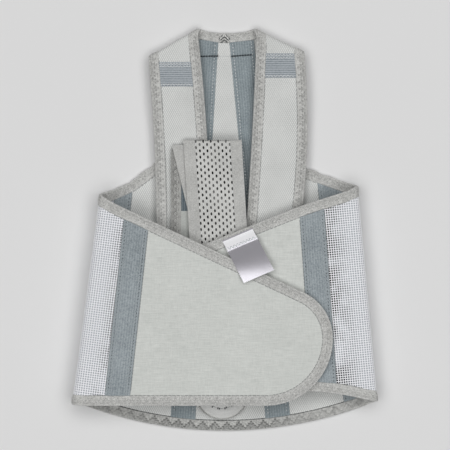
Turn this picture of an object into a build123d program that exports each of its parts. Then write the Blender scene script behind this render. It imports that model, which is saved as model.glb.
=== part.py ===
from build123d import *
import os
from math import atan, pi, sqrt, tan

# A soft corset for the lower and upper back, lying on its back with the front closed and the
# shoulder straps folded forward.  Millimetres.  X runs across the waist, +Y towards the neck,
# +Z up from the surface it lies on.  The origin is under the middle of its outline.

# ---- cloth and trim ---------------------------------------------------------------------
fabric = 2.4            # laminated panel and spacer mesh, one thickness throughout
bind_fold = 0.6         # one leaf of the binding that wraps every cut edge
bind_width = 10.2       # visible width of a folded binding
tape_width = 25.0       # webbing that forms the stay channels
tape_leaf = 0.6         # webbing over a stay
stay_thick = 1.0        # sprung steel
stay_width = 12.0
stay_play = 0.2         # free space all round a stay in its channel
stay_end = 12.0         # a stay stops this far from its channel's ends
ply_gap = 0.3           # loose layers lie this far apart
strap_air = 3.8         # the folded-down straps stand this far off the back
front_air = 2.8         # and the front stands this far off them
elastic = 1.4           # perforated elastic of the strap end
elastic_width = 58.0
return_thick = 1.2      # thin lower part of the left strap
return_fold = 0.4       # and its lighter binding
return_width = 42.0
patch_thick = 1.0       # webbing patch on a strap
patch_length = 24.5
pad_width = 50.0        # lumbar pad
pad_length = 118.0
pad_thick = 6.0
pad_bevel = 2.4
hook_width = 52.0       # hook patch under the outer flap's tip
hook_length = 60.0
hook_corner = 6.0
label_width = 33.0      # satin label
label_length = 46.0
label_leaf = 0.25
label_hem = 11.0        # double part, at the stitched end
label_bend = 3.0
tack_span, tack_rise = 10.0, 4.8        # stitched chevron that joins the neck binding
tack_width, tack_thick = 2.6, 0.6

# ---- levels, from the surface up --------------------------------------------------------
back_z = bind_fold                                      # underside of the back panel
back_top = back_z + fabric
tape_high = tape_leaf + stay_thick + 2 * stay_play
strap_z = back_top + tape_high + strap_air + bind_fold
strap_top = strap_z + fabric
return_z = strap_top + bind_fold + return_fold
return_top = return_z + return_thick
end_z = return_top + return_fold + ply_gap              # lower ply of the strap end
end_space = 0.8                                         # between its two plies
end_front_z = end_z + elastic + end_space
inner_z = end_front_z + elastic + front_air + bind_fold # inner front flap
inner_top = inner_z + fabric
outer_z = inner_top + tape_high + ply_gap + bind_fold   # outer front flap
outer_top = outer_z + fabric

# ---- outline ----------------------------------------------------------------------------
# Side folds, hem end first, as the outermost line of the mesh.
left_fold = (-152.7, -174.6), (-125.2, 33.0)
right_fold = (152.7, -171.4), (133.2, 41.0)
# Shoulder folds, neck end first.
left_shoulder = (-27.8, 201.0), (-76.8, 173.0)
right_shoulder = (31.2, 201.1), (79.8, 178.1)
hem_y = -201.8          # lowest point of the back
hem_radius = 406.0
neck_x, neck_y = 1.5, 196.1
neck_radius = 79.0
neck_past = 51.5        # half of the neck arc's span before it is trimmed by the shoulders
past = 165.0            # edges run on past the side folds and are trimmed there
# Corners of the armholes from the waist to the shoulder, and how far each is rounded.
left_arm_corners = (-past, 19.5), (-100.0, 44.9), (-43.0, 87.0), (-44.0, 154.0), (-94.0, 184.0)
right_arm_corners = (past, 32.0), (84.0, 61.0), (43.0, 90.0), (48.0, 151.0), (96.0, 193.0)
arm_low_radius, arm_mid_radius, arm_high_radius = 60.0, 22.0, 25.0
# Seams between back and mesh and between mesh and front, hem end first; a tape covers each.
left_back_seam = (-131.2, -175.2), (-105.2, 38.8)
right_back_seam = (131.8, -168.2), (105.8, 44.8)
left_front_seam = (-106.6, -164.7), (-88.3, 3.8)
right_front_seam = (98.8, -153.2), (86.8, 17.8)
# Spine tapes, hem end first.
left_spine = (-41.3, -180.0), (-19.9, 172.8)
right_spine = (52.5, -180.0), (18.7, 172.8)
# Corners of the outer flap's edge, and how far each is rounded.
outer_hem_y = -174.9
outer_tip_x = 107.5
outer_rise = 0.47       # climb of its top edge towards the left side
outer_tip_radius = 50.0
outer_low_radius = 67.0
outer_tip_run = 0.4     # straight between the two
# The inner flap's edge, hem first, round its hidden tip and back along the top.
inner_hem = (175.0, -176.5), (105.0, -161.3)
inner_tip_x = -52.8
inner_tip_low, inner_tip_high = -157.5, -27.1
inner_neck = (75.2, 23.8), (160.0, 50.9)
inner_low_radius = 45.0
inner_tip_radius = 35.0
inner_hem_radius, inner_neck_radius = 250.0, 300.0
pad_x, pad_low_y = -2.8, -188.2
hook_x, hook_y = 46.0, -113.0
label_at = (-2.8, -10.2), (27.9, 1.8)   # its stitched edge
tuck_clear = 5.0        # strap bends where it meets the flap's edge, this far above it
tuck_y = -32.0          # tucked ends reach down to here
# Three points on each strap edge, shoulder end first; the last is on the tucked end.
left_outer_edge = (-79.5, 205.0), (-71.3, 100.0), (-68.5, tuck_y)
left_inner_edge = (-27.9, 205.0), (-18.1, 100.0), (-14.5, tuck_y)
right_outer_edge = (76.5, 205.0), (82.9, 100.0), (70.0, tuck_y)
right_inner_edge = (32.0, 205.0), (27.6, 100.0), (18.5, tuck_y)
return_x, return_y = -53.8, 80.0        # outer top corner of the return ply
end_lift_y = 16.0       # the strap end bends here when it is lifted
left_patch_y = 155.6    # middle of each webbing patch
right_patch_y = 164.3
return_patch_y = 36.3
return_patch_length = 35.0
end_line = (-12.3, 89.8), (-7.3, 9.8)   # middle of the folded strap end, from its fold down
end_back_corner = (-52.8, 84.3)         # its lower ply lies askew
end_lift_gap = 4.0
end_tuck_y = -24.0
label_step = 7.0        # run in which the label climbs onto the outer flap


# ---- helpers ----------------------------------------------------------------------------
def vec(p, z=0.0):
    return Vector(p[0], p[1], z)


def along(line):
    return (vec(line[1]) - vec(line[0])).normalized()


def across(line):
    """Unit vector to the left of a line."""
    return along(line).rotate(Axis.Z, 90)


def moved(line, d):
    """The line moved d to its left."""
    n = across(line) * d
    return (line[0][0] + n.X, line[0][1] + n.Y), (line[1][0] + n.X, line[1][1] + n.Y)


def x_at(line, y):
    (x0, y0), (x1, y1) = line
    return x0 + (x1 - x0) * (y - y0) / (y1 - y0)


def crossing(path, line, near):
    """Where a path crosses a straight line, closest to the given point."""
    ray = Axis(vec(line[0]), along(line))
    found = [p for edge in path.edges() for p in edge.find_intersection_points(ray)]
    p = min(found, key=lambda p: (p - vec(near)).length)
    return p.X, p.Y


def quad(*points):
    return make_face(Polyline(*[vec(p) for p in points], close=True))


def left_of(line, reach=900.0):
    """A broad face that fills the plane to the left of a line."""
    u, n = along(line) * reach, across(line) * reach
    p, q = vec(line[0]) - u, vec(line[1]) + u
    return make_face(Polyline(p, q, q + n, p + n, close=True))


def strip(line, width, reach=60.0):
    """A straight strip centred on a line and running past both its ends."""
    u, n = along(line) * reach, across(line) * (width / 2)
    p, q = vec(line[0]) - u, vec(line[1]) + u
    return make_face(Polyline(p - n, q - n, q + n, p + n, close=True))


def plate(face, z0, z1):
    return extrude(Pos(0, 0, z0) * face, z1 - z0, dir=(0, 0, 1))


def panel(outline, paths, z, thick=fabric, leaf=bind_fold):
    """A sheet that stops one leaf of binding short of its bound edges."""
    body = plate(outline, z, z + thick)
    for path in paths:
        body -= plate(trace(path, 2 * leaf), z, z + thick)
    return body


def binding(outline, path, z, thick=fabric, leaf=bind_fold, width=bind_width):
    """A tape folded round one edge of a sheet whose underside is at z."""
    low, high = z - leaf, z + thick + leaf
    wrap = plate(outline, low, high) & plate(trace(path, 2 * width), low, high)
    return wrap - panel(outline, [path], z, thick, leaf)


def channel(outline, paths, line, z):
    """A stay channel sewn along a line on top of a sheet, and the stay inside it."""
    tape = plate(outline, z, z + tape_high) & plate(strip(line, tape_width), z, z + tape_high)
    for path in paths:
        tape -= plate(trace(path, 2 * bind_width), z, z + tape_high)
    box = tape.bounding_box()
    ends = [(x_at(line, y), y) for y in (box.min.Y + stay_end, box.max.Y - stay_end)]
    long = (vec(ends[1]) - vec(ends[0])).length
    place = Plane((vec(ends[0]) + vec(ends[1])) / 2, x_dir=along(line), z_dir=(0, 0, 1))
    pocket_end = stay_width / 2 + stay_play
    pocket = place * SlotOverall(long + 2 * stay_play, 2 * pocket_end)
    stay = place * SlotOverall(long, stay_width)
    tape -= plate(pocket, z, z + stay_thick + 2 * stay_play)
    return tape, plate(stay, z + stay_play, z + stay_play + stay_thick)


def half_tube(axis, low, high, thick, ends, trim=0.0):
    """Cloth turned over along an axis: half a tube between the levels low and high.

    It bulges to the right of the axis.  Each end is a pair of points on the axis line, where the
    cloth's edge leaves the lower and the upper layer; trim takes that much off both ends.
    """
    radius, mid = (high - low) / 2, (high + low) / 2
    out = across(axis) * -1
    start = vec(axis[0], mid)
    plane = Plane(start, x_dir=out, z_dir=along(axis))
    ring = Circle(radius) - Circle(radius - thick) - Pos(-radius, 0) * Rectangle(2 * radius, 3 * radius)
    tube = extrude(plane * ring, 900, both=True)
    middle = sum((vec(p) for pair in ends for p in pair), Vector()) / 4
    for lower, upper in ends:
        slope = vec(upper, high) - vec(lower, low)
        normal = slope.cross(out).normalized()
        at = (vec(lower, low) + vec(upper, high)) / 2
        if normal.dot(vec((middle.X, middle.Y), mid) - at) < 0:
            normal = normal * -1
        tube = split(tube, bisect_by=Plane(at + normal * trim, z_dir=normal), keep=Keep.TOP)
    return tube


parts = {}

# ---- back -------------------------------------------------------------------------------
def hem_height(x):
    return hem_y + hem_radius - sqrt(hem_radius**2 - x**2)


hem = ThreePointArc((-past, hem_height(past)), (0, hem_y), (past, hem_height(past)))
arm_radii = [arm_low_radius, arm_mid_radius, arm_high_radius]
right_arm = FilletPolyline(*right_arm_corners, radius=arm_radii)
neck_high = neck_y + neck_radius - sqrt(neck_radius**2 - neck_past**2)
neck = ThreePointArc((neck_x + neck_past, neck_high), (neck_x, neck_y), (neck_x - neck_past, neck_high))
left_arm = FilletPolyline(*left_arm_corners[::-1], radius=arm_radii[::-1])

left_radius = (outer_top - back_z) / 2
right_radius = (inner_top - back_z) / 2
shoulder_radius = (strap_top - back_z) / 2
left_axis = moved(left_fold, -left_radius)
right_axis = moved(right_fold, right_radius)
shoulder_inset = shoulder_radius + bind_fold
left_shoulder_axis = moved(left_shoulder, shoulder_inset)
right_shoulder_axis = moved(right_shoulder, -shoulder_inset)

back_outline = make_face([
    hem, Line(hem @ 1, right_arm @ 0), right_arm, Line(right_arm @ 1, neck @ 0), neck,
    Line(neck @ 1, left_arm @ 0), left_arm, Line(left_arm @ 1, hem @ 0)])
back_flat = (back_outline - left_of(left_axis) - left_of(right_axis[::-1])
             - left_of(left_shoulder_axis[::-1]) - left_of(right_shoulder_axis))
back_edges = hem, right_arm, neck, left_arm
back_whole = panel(back_flat, back_edges, back_z)
beyond_left = plate(left_of(left_back_seam), 0, back_top)
beyond_right = plate(left_of(right_back_seam[::-1]), 0, back_top)
parts["back_panel"] = back_whole - beyond_left - beyond_right
parts["left_mesh_back"] = back_whole & beyond_left
parts["right_mesh_back"] = back_whole & beyond_right
for name, path in zip(("back_hem", "right_armhole", "neck", "left_armhole"), back_edges):
    parts[name + "_binding"] = binding(back_flat, path, back_z)
for name, line in (("left_spine", left_spine), ("right_spine", right_spine),
                   ("left_side", left_back_seam), ("right_side", right_back_seam)):
    parts[name + "_tape"], parts[name + "_stay"] = channel(back_flat, back_edges, line, back_top)

pad_face = Pos(pad_x, pad_low_y + pad_length / 2) * Rot(0, 0, 90) * SlotOverall(pad_length, pad_width)
for line in (left_spine, right_spine):      # it lies between the spine tapes
    pad_face -= strip(line, tape_width + 2 * ply_gap)
pad_side = pad_thick - pad_bevel
parts["lumbar_pad"] = plate(pad_face, back_top, back_top + pad_side) + extrude(
    Pos(0, 0, back_top + pad_side) * pad_face, pad_bevel, dir=(0, 0, 1), taper=45)
tack = Polyline((-tack_span / 2, -tack_rise / 2), (0, tack_rise / 2), (tack_span / 2, -tack_rise / 2))
tack_z = back_top + bind_fold
parts["neck_tack"] = plate(
    Pos(neck_x, neck_y - bind_width / 2) * trace(tack, tack_width), tack_z, tack_z + tack_thick)

# ---- outer front flap -------------------------------------------------------------------
tip_turn = (pi / 2 - atan(outer_rise)) / 2
outer_tip_y = outer_hem_y + outer_low_radius + outer_tip_run + outer_tip_radius * tan(tip_turn)
outer_edge = FilletPolyline(
    (-past, outer_hem_y), (outer_tip_x, outer_hem_y), (outer_tip_x, outer_tip_y),
    (-past, outer_tip_y + outer_rise * (outer_tip_x + past)), radius=[outer_low_radius, outer_tip_radius])
outer_top_line = (outer_tip_x, outer_tip_y), (0.0, outer_tip_y + outer_rise * outer_tip_x)
outer_outline = make_face([outer_edge, Line(outer_edge @ 1, outer_edge @ 0)])
outer_flat = outer_outline - left_of(left_axis)
outer_whole = panel(outer_flat, [outer_edge], outer_z)
beyond_left = plate(left_of(left_front_seam), outer_z, outer_top)
parts["outer_flap_panel"] = outer_whole - beyond_left
parts["left_mesh_front"] = outer_whole & beyond_left
parts["outer_flap_binding"] = binding(outer_flat, outer_edge, outer_z)
parts["left_front_tape"], parts["left_front_stay"] = channel(
    outer_flat, [outer_edge], left_front_seam, outer_top)
hook_z = inner_top + ply_gap
parts["hook_patch"] = plate(
    Pos(hook_x, hook_y) * RectangleRounded(hook_width, hook_length, hook_corner), hook_z, outer_z)

# ---- inner front flap -------------------------------------------------------------------
inner_edge = FilletPolyline(
    *inner_hem, (inner_tip_x, inner_tip_low), (inner_tip_x, inner_tip_high), *inner_neck,
    radius=[inner_hem_radius, inner_low_radius, inner_tip_radius, inner_neck_radius])
inner_outline = make_face([inner_edge, Line(inner_edge @ 1, inner_edge @ 0)])
inner_flat = inner_outline - left_of(right_axis[::-1])
inner_whole = panel(inner_flat, [inner_edge], inner_z)
beyond_right = plate(left_of(right_front_seam[::-1]), inner_z, inner_top)
parts["inner_flap_panel"] = inner_whole - beyond_right
parts["right_mesh_front"] = inner_whole & beyond_right
parts["inner_flap_binding"] = binding(inner_flat, inner_edge, inner_z)
parts["right_front_tape"], parts["right_front_stay"] = channel(
    inner_flat, [inner_edge], right_front_seam, inner_top)

# ---- side folds: mesh and binding turn from back to front -------------------------------
def fold_end(axis, lower_edge, upper_edge, near):
    """Where a bound edge leaves the lower and the upper layer at one end of a fold."""
    return crossing(lower_edge, axis, near), crossing(upper_edge, axis, near)


folds = {
    "left": (left_axis[::-1], outer_top, fold_end(left_axis, left_arm, outer_edge, left_fold[1]),
             fold_end(left_axis, hem, outer_edge, left_fold[0])),
    "right": (right_axis, inner_top, fold_end(right_axis, right_arm, inner_edge, right_fold[1]),
              fold_end(right_axis, hem, inner_edge, right_fold[0])),
}
for side, (axis, high, top_end, hem_end) in folds.items():
    ends = top_end, hem_end
    tube = half_tube(axis, back_z, high, fabric, ends, trim=bind_fold)
    cover = half_tube(axis, back_z - bind_fold, high + bind_fold, fabric + 2 * bind_fold, ends)
    wraps = cover - half_tube(axis, back_z - bind_fold, high + bind_fold, fabric + 2 * bind_fold,
                              ends, trim=bind_width) - tube
    by_y = wraps.solids().sort_by(Axis.Y)
    parts[side + "_mesh_fold"] = tube
    parts[side + "_fold_hem_binding"], parts[side + "_fold_top_binding"] = by_y[0], by_y[-1]

# ---- shoulder straps --------------------------------------------------------------------
left_outer, right_inner = ThreePointArc(*left_outer_edge), ThreePointArc(*right_inner_edge)
left_inner, right_outer = ThreePointArc(*left_inner_edge[::-1]), ThreePointArc(*right_outer_edge[::-1])
left_flap_line = moved(outer_top_line, -tuck_clear)
right_flap_line = moved(((inner_tip_x, inner_tip_high), inner_neck[0]), tuck_clear)


def strap(side, outer, inner, shoulder_axis, flap_line, patch_y):
    """One padded strap from its shoulder fold to where it dips under the flap."""
    first, second = (outer, inner) if side == "left" else (inner, outer)
    outline = make_face([first, Line(first @ 1, second @ 0), second, Line(second @ 1, first @ 0)])
    outline -= left_of(shoulder_axis if side == "right" else shoulder_axis[::-1])
    hidden = left_of(flap_line[::-1] if side == "right" else flap_line)
    shown = outline - hidden
    parts[side + "_strap_panel"] = panel(shown, (outer, inner), strap_z)
    parts[side + "_strap_outer_binding"] = binding(shown, outer, strap_z)
    parts[side + "_strap_inner_binding"] = binding(shown, inner, strap_z)
    low, high = strap_top, strap_top + patch_thick
    patch = plate(shown, low, high) & plate(Pos(0, patch_y) * Rectangle(2 * past, patch_length), low, high)
    for path in (outer, inner):
        patch -= plate(trace(path, 2 * bind_width), low, high)
    parts[side + "_strap_patch"] = patch
    return outline - shown


left_hidden = strap("left", left_outer, left_inner, left_shoulder_axis, left_flap_line, left_patch_y)
right_hidden = strap("right", right_outer, right_inner, right_shoulder_axis, right_flap_line, right_patch_y)
parts["right_strap_tuck"] = plate(right_hidden, strap_z - bind_fold, strap_top + bind_fold)

turns = {
    "left": (left_shoulder_axis, left_arm, left_outer, left_inner, left_shoulder),
    "right": (right_shoulder_axis[::-1], right_arm, right_outer, right_inner, right_shoulder),
}
for side, (axis, arm, outer, inner, (neck_end, arm_end)) in turns.items():
    ends = fold_end(axis, arm, outer, arm_end), fold_end(axis, neck, inner, neck_end)
    low, high, thick = back_z - bind_fold, strap_top + bind_fold, fabric + 2 * bind_fold
    bound_ends = half_tube(axis, low, high, thick, ends) - half_tube(
        axis, low, high, thick, ends, trim=bind_width)
    parts[side + "_shoulder_fold"] = bound_ends + half_tube(
        axis, back_z, strap_top, fabric, ends, trim=bind_fold)

# ---- the left strap turns up again inside the front -------------------------------------
return_end = return_x + return_width
return_face = quad((return_x, tuck_y), (return_end, tuck_y), (return_end, return_y), (return_x, return_y))
return_shown = return_face - left_of(left_flap_line)
return_edges = {"outer": Line((return_x, return_y), (return_x, tuck_y)),
                "inner": Line((return_end, tuck_y), (return_end, return_y))}
parts["left_return_ply"] = panel(
    return_shown, return_edges.values(), return_z, return_thick, return_fold)
for name, path in return_edges.items():
    parts[f"left_return_{name}_binding"] = binding(
        return_shown, path, return_z, return_thick, return_fold)
return_patch_width = return_width - 2 * bind_width
parts["left_return_patch"] = plate(
    Pos(return_x + return_width / 2, return_patch_y) * Rectangle(return_patch_width, return_patch_length),
    return_top, return_top + return_fold)

turn_low, turn_high = strap_z - bind_fold, return_top + return_fold
turn_long = (left_inner @ 0).X - return_x
turn = Pos(return_x + turn_long / 2, tuck_y, (turn_low + turn_high) / 2) * Rot(0, 90, 0) * Cylinder(
    (turn_high - turn_low) / 2, turn_long)
turn = split(turn, bisect_by=Plane((0, tuck_y, 0), z_dir=(0, -1, 0)), keep=Keep.TOP)
parts["left_strap_tuck"] = (plate(left_hidden, turn_low, strap_top + bind_fold)
                            + plate(return_face - return_shown, return_z - return_fold, turn_high) + turn)

# ---- perforated end, folded in half -----------------------------------------------------
end_back_top = end_z + elastic
end_top = end_front_z + elastic
end_radius = (end_top - end_z) / 2
fold_y = end_line[0][1] - end_radius
end_strip = strip(end_line, elastic_width)
end_left, end_right = moved(end_line, -elastic_width / 2), moved(end_line, elastic_width / 2)
level = (0.0, fold_y), (1.0, fold_y)
above_fold = left_of(level)
lifts = (0.0, end_lift_y + end_lift_gap), (1.0, end_lift_y + end_lift_gap)
above_lift = left_of(lifts)
tucked = (0.0, end_tuck_y), (1.0, end_tuck_y)
parts["left_end_front_ply"] = plate(end_strip - above_fold - left_of(lifts[::-1]), end_front_z, end_top)
top_left, top_right = (x_at(end_left, fold_y), fold_y), (x_at(end_right, fold_y), fold_y)
low_left, low_right = ((x_at(line, lifts[0][1]), lifts[0][1]) for line in (end_left, end_right))
parts["left_end_back_ply"] = plate(
    quad(end_back_corner, top_left, top_right, low_right, low_left), end_z, end_back_top)
parts["left_end_fold"] = half_tube(
    (top_right, top_left), end_z, end_top, elastic, ((top_right, top_right), (top_left, top_left)))
tuck_face = end_strip - above_lift - left_of(tucked[::-1])
tuck_left, tuck_right = ((x_at(line, end_tuck_y), end_tuck_y) for line in (end_left, end_right))
parts["left_end_tuck"] = (
    plate(tuck_face, end_z, end_back_top) + plate(tuck_face, end_front_z, end_top) + half_tube(
        (tuck_left, tuck_right), end_z, end_top, elastic, ((tuck_left, tuck_left), (tuck_right, tuck_right))))

# ---- label ------------------------------------------------------------------------------
label_low = inner_top + bind_fold + ply_gap
label_high = outer_top + bind_fold + ply_gap
side_view = Plane(vec(label_at[0]), x_dir=across(label_at) * -1, z_dir=along(label_at) * -1)
drape = FilletPolyline(
    (0, label_low + label_leaf), (label_hem, label_low + label_leaf),
    (label_hem + label_step, label_high), (label_length, label_high), radius=[label_bend, label_bend])
double = Pos(label_hem / 2, label_low + label_leaf) * Rectangle(label_hem, 2 * label_leaf)
profile = trace(drape, label_leaf) + double
parts["label"] = extrude(side_view * profile, label_width, dir=tuple(along(label_at)))


def main():
    os.makedirs("parts", exist_ok=True)
    for name, shape in parts.items():
        export_step(shape, f"parts/{name}.step")


main()
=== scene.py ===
import bpy
import bmesh
from math import cos, exp, hypot, pi, radians, sin
import numpy as np
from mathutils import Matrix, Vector
from mathutils.geometry import delaunay_2d_cdt
from mathutils.kdtree import KDTree
from mathutils.noise import noise


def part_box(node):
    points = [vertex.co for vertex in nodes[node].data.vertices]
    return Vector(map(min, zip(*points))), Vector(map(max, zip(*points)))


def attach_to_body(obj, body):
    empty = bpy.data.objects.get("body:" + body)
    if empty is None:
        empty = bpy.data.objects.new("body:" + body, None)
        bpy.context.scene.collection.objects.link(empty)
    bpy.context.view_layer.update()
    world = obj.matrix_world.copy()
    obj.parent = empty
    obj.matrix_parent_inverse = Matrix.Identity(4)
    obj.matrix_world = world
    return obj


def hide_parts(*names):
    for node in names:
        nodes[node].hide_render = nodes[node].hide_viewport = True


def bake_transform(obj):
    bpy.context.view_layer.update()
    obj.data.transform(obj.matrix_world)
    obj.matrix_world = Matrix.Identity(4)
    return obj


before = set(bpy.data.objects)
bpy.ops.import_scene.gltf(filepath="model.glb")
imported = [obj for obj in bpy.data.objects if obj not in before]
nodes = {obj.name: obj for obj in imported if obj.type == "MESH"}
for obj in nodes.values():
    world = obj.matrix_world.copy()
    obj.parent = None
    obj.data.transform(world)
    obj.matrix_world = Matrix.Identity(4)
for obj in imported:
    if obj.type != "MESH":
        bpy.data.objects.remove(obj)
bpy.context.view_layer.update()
scene = bpy.context.scene

# Sizes below are in millimetres; a mesh is written in metres.
MM = 0.001
UP = np.array((0.0, 0.0, 1.0))

# ---- camera
VIEW_WIDTH = 450.0          # what the frame takes in, at the belt's middle height
VIEW_CENTRE = (0.25, 4.8)
CAMERA_HEIGHT = 2400.0
SENSOR = 36.0

camera_data = bpy.data.cameras.new("overhead_camera")
camera_data.sensor_width = SENSOR
camera_data.lens = SENSOR * CAMERA_HEIGHT / VIEW_WIDTH
camera_data.clip_end = 20.0
camera = bpy.data.objects.new("overhead_camera", camera_data)
camera.location = (VIEW_CENTRE[0] * MM, VIEW_CENTRE[1] * MM, (CAMERA_HEIGHT + 14.0) * MM)
scene.collection.objects.link(camera)
scene.camera = camera
scene.view_settings.view_transform = "Standard"


# ---- node groups and materials
def srgb(*rgb):
    """A colour given in 0-255 display values, as linear light."""
    return tuple((c / 255) / 12.92 if c <= 10 else ((c / 255 + 0.055) / 1.055) ** 2.4 for c in rgb) + (1.0,)


class Tree:
    """Adds nodes to a node tree and joins them up."""

    def __init__(self, tree):
        self.tree = tree

    def add(self, kind, inputs=None, **settings):
        node = self.tree.nodes.new("ShaderNode" + kind)
        for key, value in settings.items():
            setattr(node, key, value)
        for key, value in (inputs or {}).items():
            socket = node.inputs[key]
            if isinstance(value, bpy.types.NodeSocket):
                self.tree.links.new(value, socket)
            else:
                socket.default_value = value
        return node

    def math(self, operation, *values, clamp=False):
        node = self.add("Math", dict(enumerate(values)), operation=operation, use_clamp=clamp)
        return node.outputs[0]

    def total(self, *terms):
        """The sum of values, each given with its weight."""
        value, weight = terms[0]
        done = self.math("MULTIPLY", value, weight)
        for value, weight in terms[1:]:
            done = self.math("MULTIPLY_ADD", value, weight, done)
        return done

    def ramp(self, value, gain, shift):
        """A value stretched and moved, then kept between 0 and 1."""
        return self.math("MULTIPLY_ADD", value, gain, shift, clamp=True)

    def parts(self, vector):
        return self.add("SeparateXYZ", {0: vector}).outputs

    def mix(self, factor, low, high):
        """From one display colour to another."""
        ends = [srgb(*c) if isinstance(c, tuple) else c for c in (low, high)]
        return self.add("Mix", {0: factor, 6: ends[0], 7: ends[1]}, data_type="RGBA").outputs[2]

    def noise(self, vector, scale, detail=2.0, roughness=0.5):
        node = self.add("TexNoise", {"Vector": vector, "Scale": scale, "Detail": detail, "Roughness": roughness})
        return node.outputs["Fac"]

    def stretched(self, vector, scale, turn=0.0):
        node = self.add("Mapping", {"Vector": vector, "Scale": scale, "Rotation": (0, 0, radians(turn))})
        return node.outputs[0]

    def group(self, tree, *values):
        """A node group placed with its own values."""
        return self.add("Group", dict(enumerate(values)), node_tree=tree).outputs


def node_group(name, inputs, outputs, build):
    tree = bpy.data.node_groups.new(name, "ShaderNodeTree")
    for label, kind, value in inputs:
        socket = tree.interface.new_socket(name=label, in_out="INPUT", socket_type="NodeSocket" + kind)
        if value is not None:
            socket.default_value = value
    for label in outputs:
        tree.interface.new_socket(name=label, in_out="OUTPUT", socket_type="NodeSocketFloat")
    enter, leave = tree.nodes.new("NodeGroupInput"), tree.nodes.new("NodeGroupOutput")
    for label, socket in build(Tree(tree), enter.outputs).items():
        tree.links.new(socket, leave.inputs[label])
    return tree


def build_grain(t, given):
    """Fine yarn grain, alone and with a broad mottle, both around one half."""
    fine = t.noise(given["Vector"], given["Grain"], 3.0, 0.7)
    broad = t.noise(given["Vector"], given["Mottle"], 2.0, 0.5)
    return {"Tone": t.total((fine, 0.7), (broad, 0.3)), "Fine": fine}


def build_ribs(t, given):
    """Rounded ribs at a pitch along X, each crossed by picks along Y."""
    def waves(axis, pitch):
        turn = t.math("MULTIPLY", t.parts(given["Vector"])[axis], t.math("DIVIDE", 2 * pi, given[pitch]))
        return t.math("MULTIPLY_ADD", t.math("SINE", turn), 0.5, 0.5)
    ribs, picks = waves("X", "Rib pitch"), waves("Y", "Pick pitch")
    return {"Ribs": ribs, "Picks": picks, "Both": t.math("MULTIPLY", ribs, picks)}


def build_seam(t, given):
    """Over a tape's UV map, in metres: the groove of its zigzag seam, for relief and painted shade, and the tape
    inland of it and its folded edge, for painted light.
    """
    parts = t.parts(given["Vector"])
    step = t.math("DIVIDE", 0.5, given["Stitches"])
    phase = t.math("FRACT", t.math("DIVIDE", t.math("SUBTRACT", parts["Y"], SEAM_START * MM), given["Pitch"]))
    phase = t.math("SNAP", t.math("MULTIPLY_ADD", step, 0.5, phase), step)
    tooth = t.math("SUBTRACT", 1.0, t.math("ABSOLUTE", t.math("MULTIPLY_ADD", phase, -2.0, 1.0)))
    reach = t.math("SUBTRACT", given["Far"], given["Near"])
    off = t.math("SUBTRACT", parts["X"], t.math("MULTIPLY_ADD", tooth, reach, given["Near"]))
    groove = t.ramp(t.math("ABSOLUTE", off), -1 / (GROOVE_HALF * MM), 1.0)
    return {"Groove": groove, "Inner": t.ramp(off, 600.0, 0.5), "Fold": t.ramp(parts["X"], -600.0, 1.0)}


def build_calm(t, given):
    """How far the hem's tape has smoothed out its seam and is painted lighter, as painted light over the shade at its
    ends: a little on the left, most of it on the right.
    """
    x = t.parts(given["Vector"])["X"]
    return {"Share": t.total((t.ramp(x, 18.0, -0.6), 0.8), (t.ramp(x, -18.0, -0.9), 0.5))}


SEAM, HEM_SEAM = (7.0, 3.0, 7.6), (12.4, 2.4, 8.4)      # a zigzag's pitch, its near side and its far side
SEAM_START = 1.0            # where it begins along a binding
GROOVE_HALF = 0.9           # how far to each side it draws the tape in
VECTOR = ("Vector", "Vector", None)
GRAIN = node_group("Yarn grain", [VECTOR, ("Grain", "Float", 900.0), ("Mottle", "Float", 40.0)],
                   ("Tone", "Fine"), build_grain)
RIBS = node_group("Ribs and picks", [VECTOR, ("Rib pitch", "Float", 0.0016), ("Pick pitch", "Float", 0.0009)],
                  ("Ribs", "Picks", "Both"), build_ribs)
ZIGZAG = node_group("Zigzag seam", [VECTOR, ("Pitch", "Float", 0.007), ("Near", "Float", 0.003),
                                    ("Far", "Float", 0.0076), ("Stitches", "Float", 2.0)],
                    ("Groove", "Inner", "Fold"), build_seam)
CALM = node_group("Smoothed hem painted light", [VECTOR], ("Share",), build_calm)


def cloth(name, build, roughness=0.9, sheen=0.15, bump=0.4, depth=0.0003, **sockets):
    """A cloth material: build gives its colour and its height from object coordinates and UV."""
    material = bpy.data.materials.new(name)
    material.use_nodes = True
    material.diffuse_color = (0.6, 0.6, 0.6, 1.0)
    t = Tree(material.node_tree)
    shader = material.node_tree.nodes["Principled BSDF"]
    coords = t.add("TexCoord")
    colour, height = build(t, coords.outputs["Object"], coords.outputs["UV"])
    t.tree.links.new(colour, shader.inputs["Base Color"])
    if height is not None:
        raised = t.add("Bump", {"Strength": bump, "Distance": depth, "Height": height})
        t.tree.links.new(raised.outputs[0], shader.inputs["Normal"])
    sockets = dict(Roughness=roughness, Sheen_Weight=sheen, Sheen_Roughness=0.5,
                   Specular_IOR_Level=0.2) | sockets
    for key, value in sockets.items():
        shader.inputs[key.replace("_", " ")].default_value = value
    return material


def brushed(t, obj, uv):
    """Brushed loop face: fine short slubs lying across the belt, and a soft uneven nap."""
    slub = t.noise(t.stretched(obj, (85, 800, 300)), 1.0, 3.0, 0.65)
    cross = t.noise(t.stretched(obj, (900, 110, 300)), 1.0, 2.0, 0.6)
    grain = t.group(GRAIN, obj, 1300.0, 30.0)
    shade = t.total((slub, 0.39), (cross, 0.21), (grain["Tone"], 0.4))
    colour = t.mix(t.ramp(shade, 3.4, -1.2), (191, 194, 190), (220, 222, 218))
    return colour, t.total((slub, 0.8), (grain["Fine"], 1.0))


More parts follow.
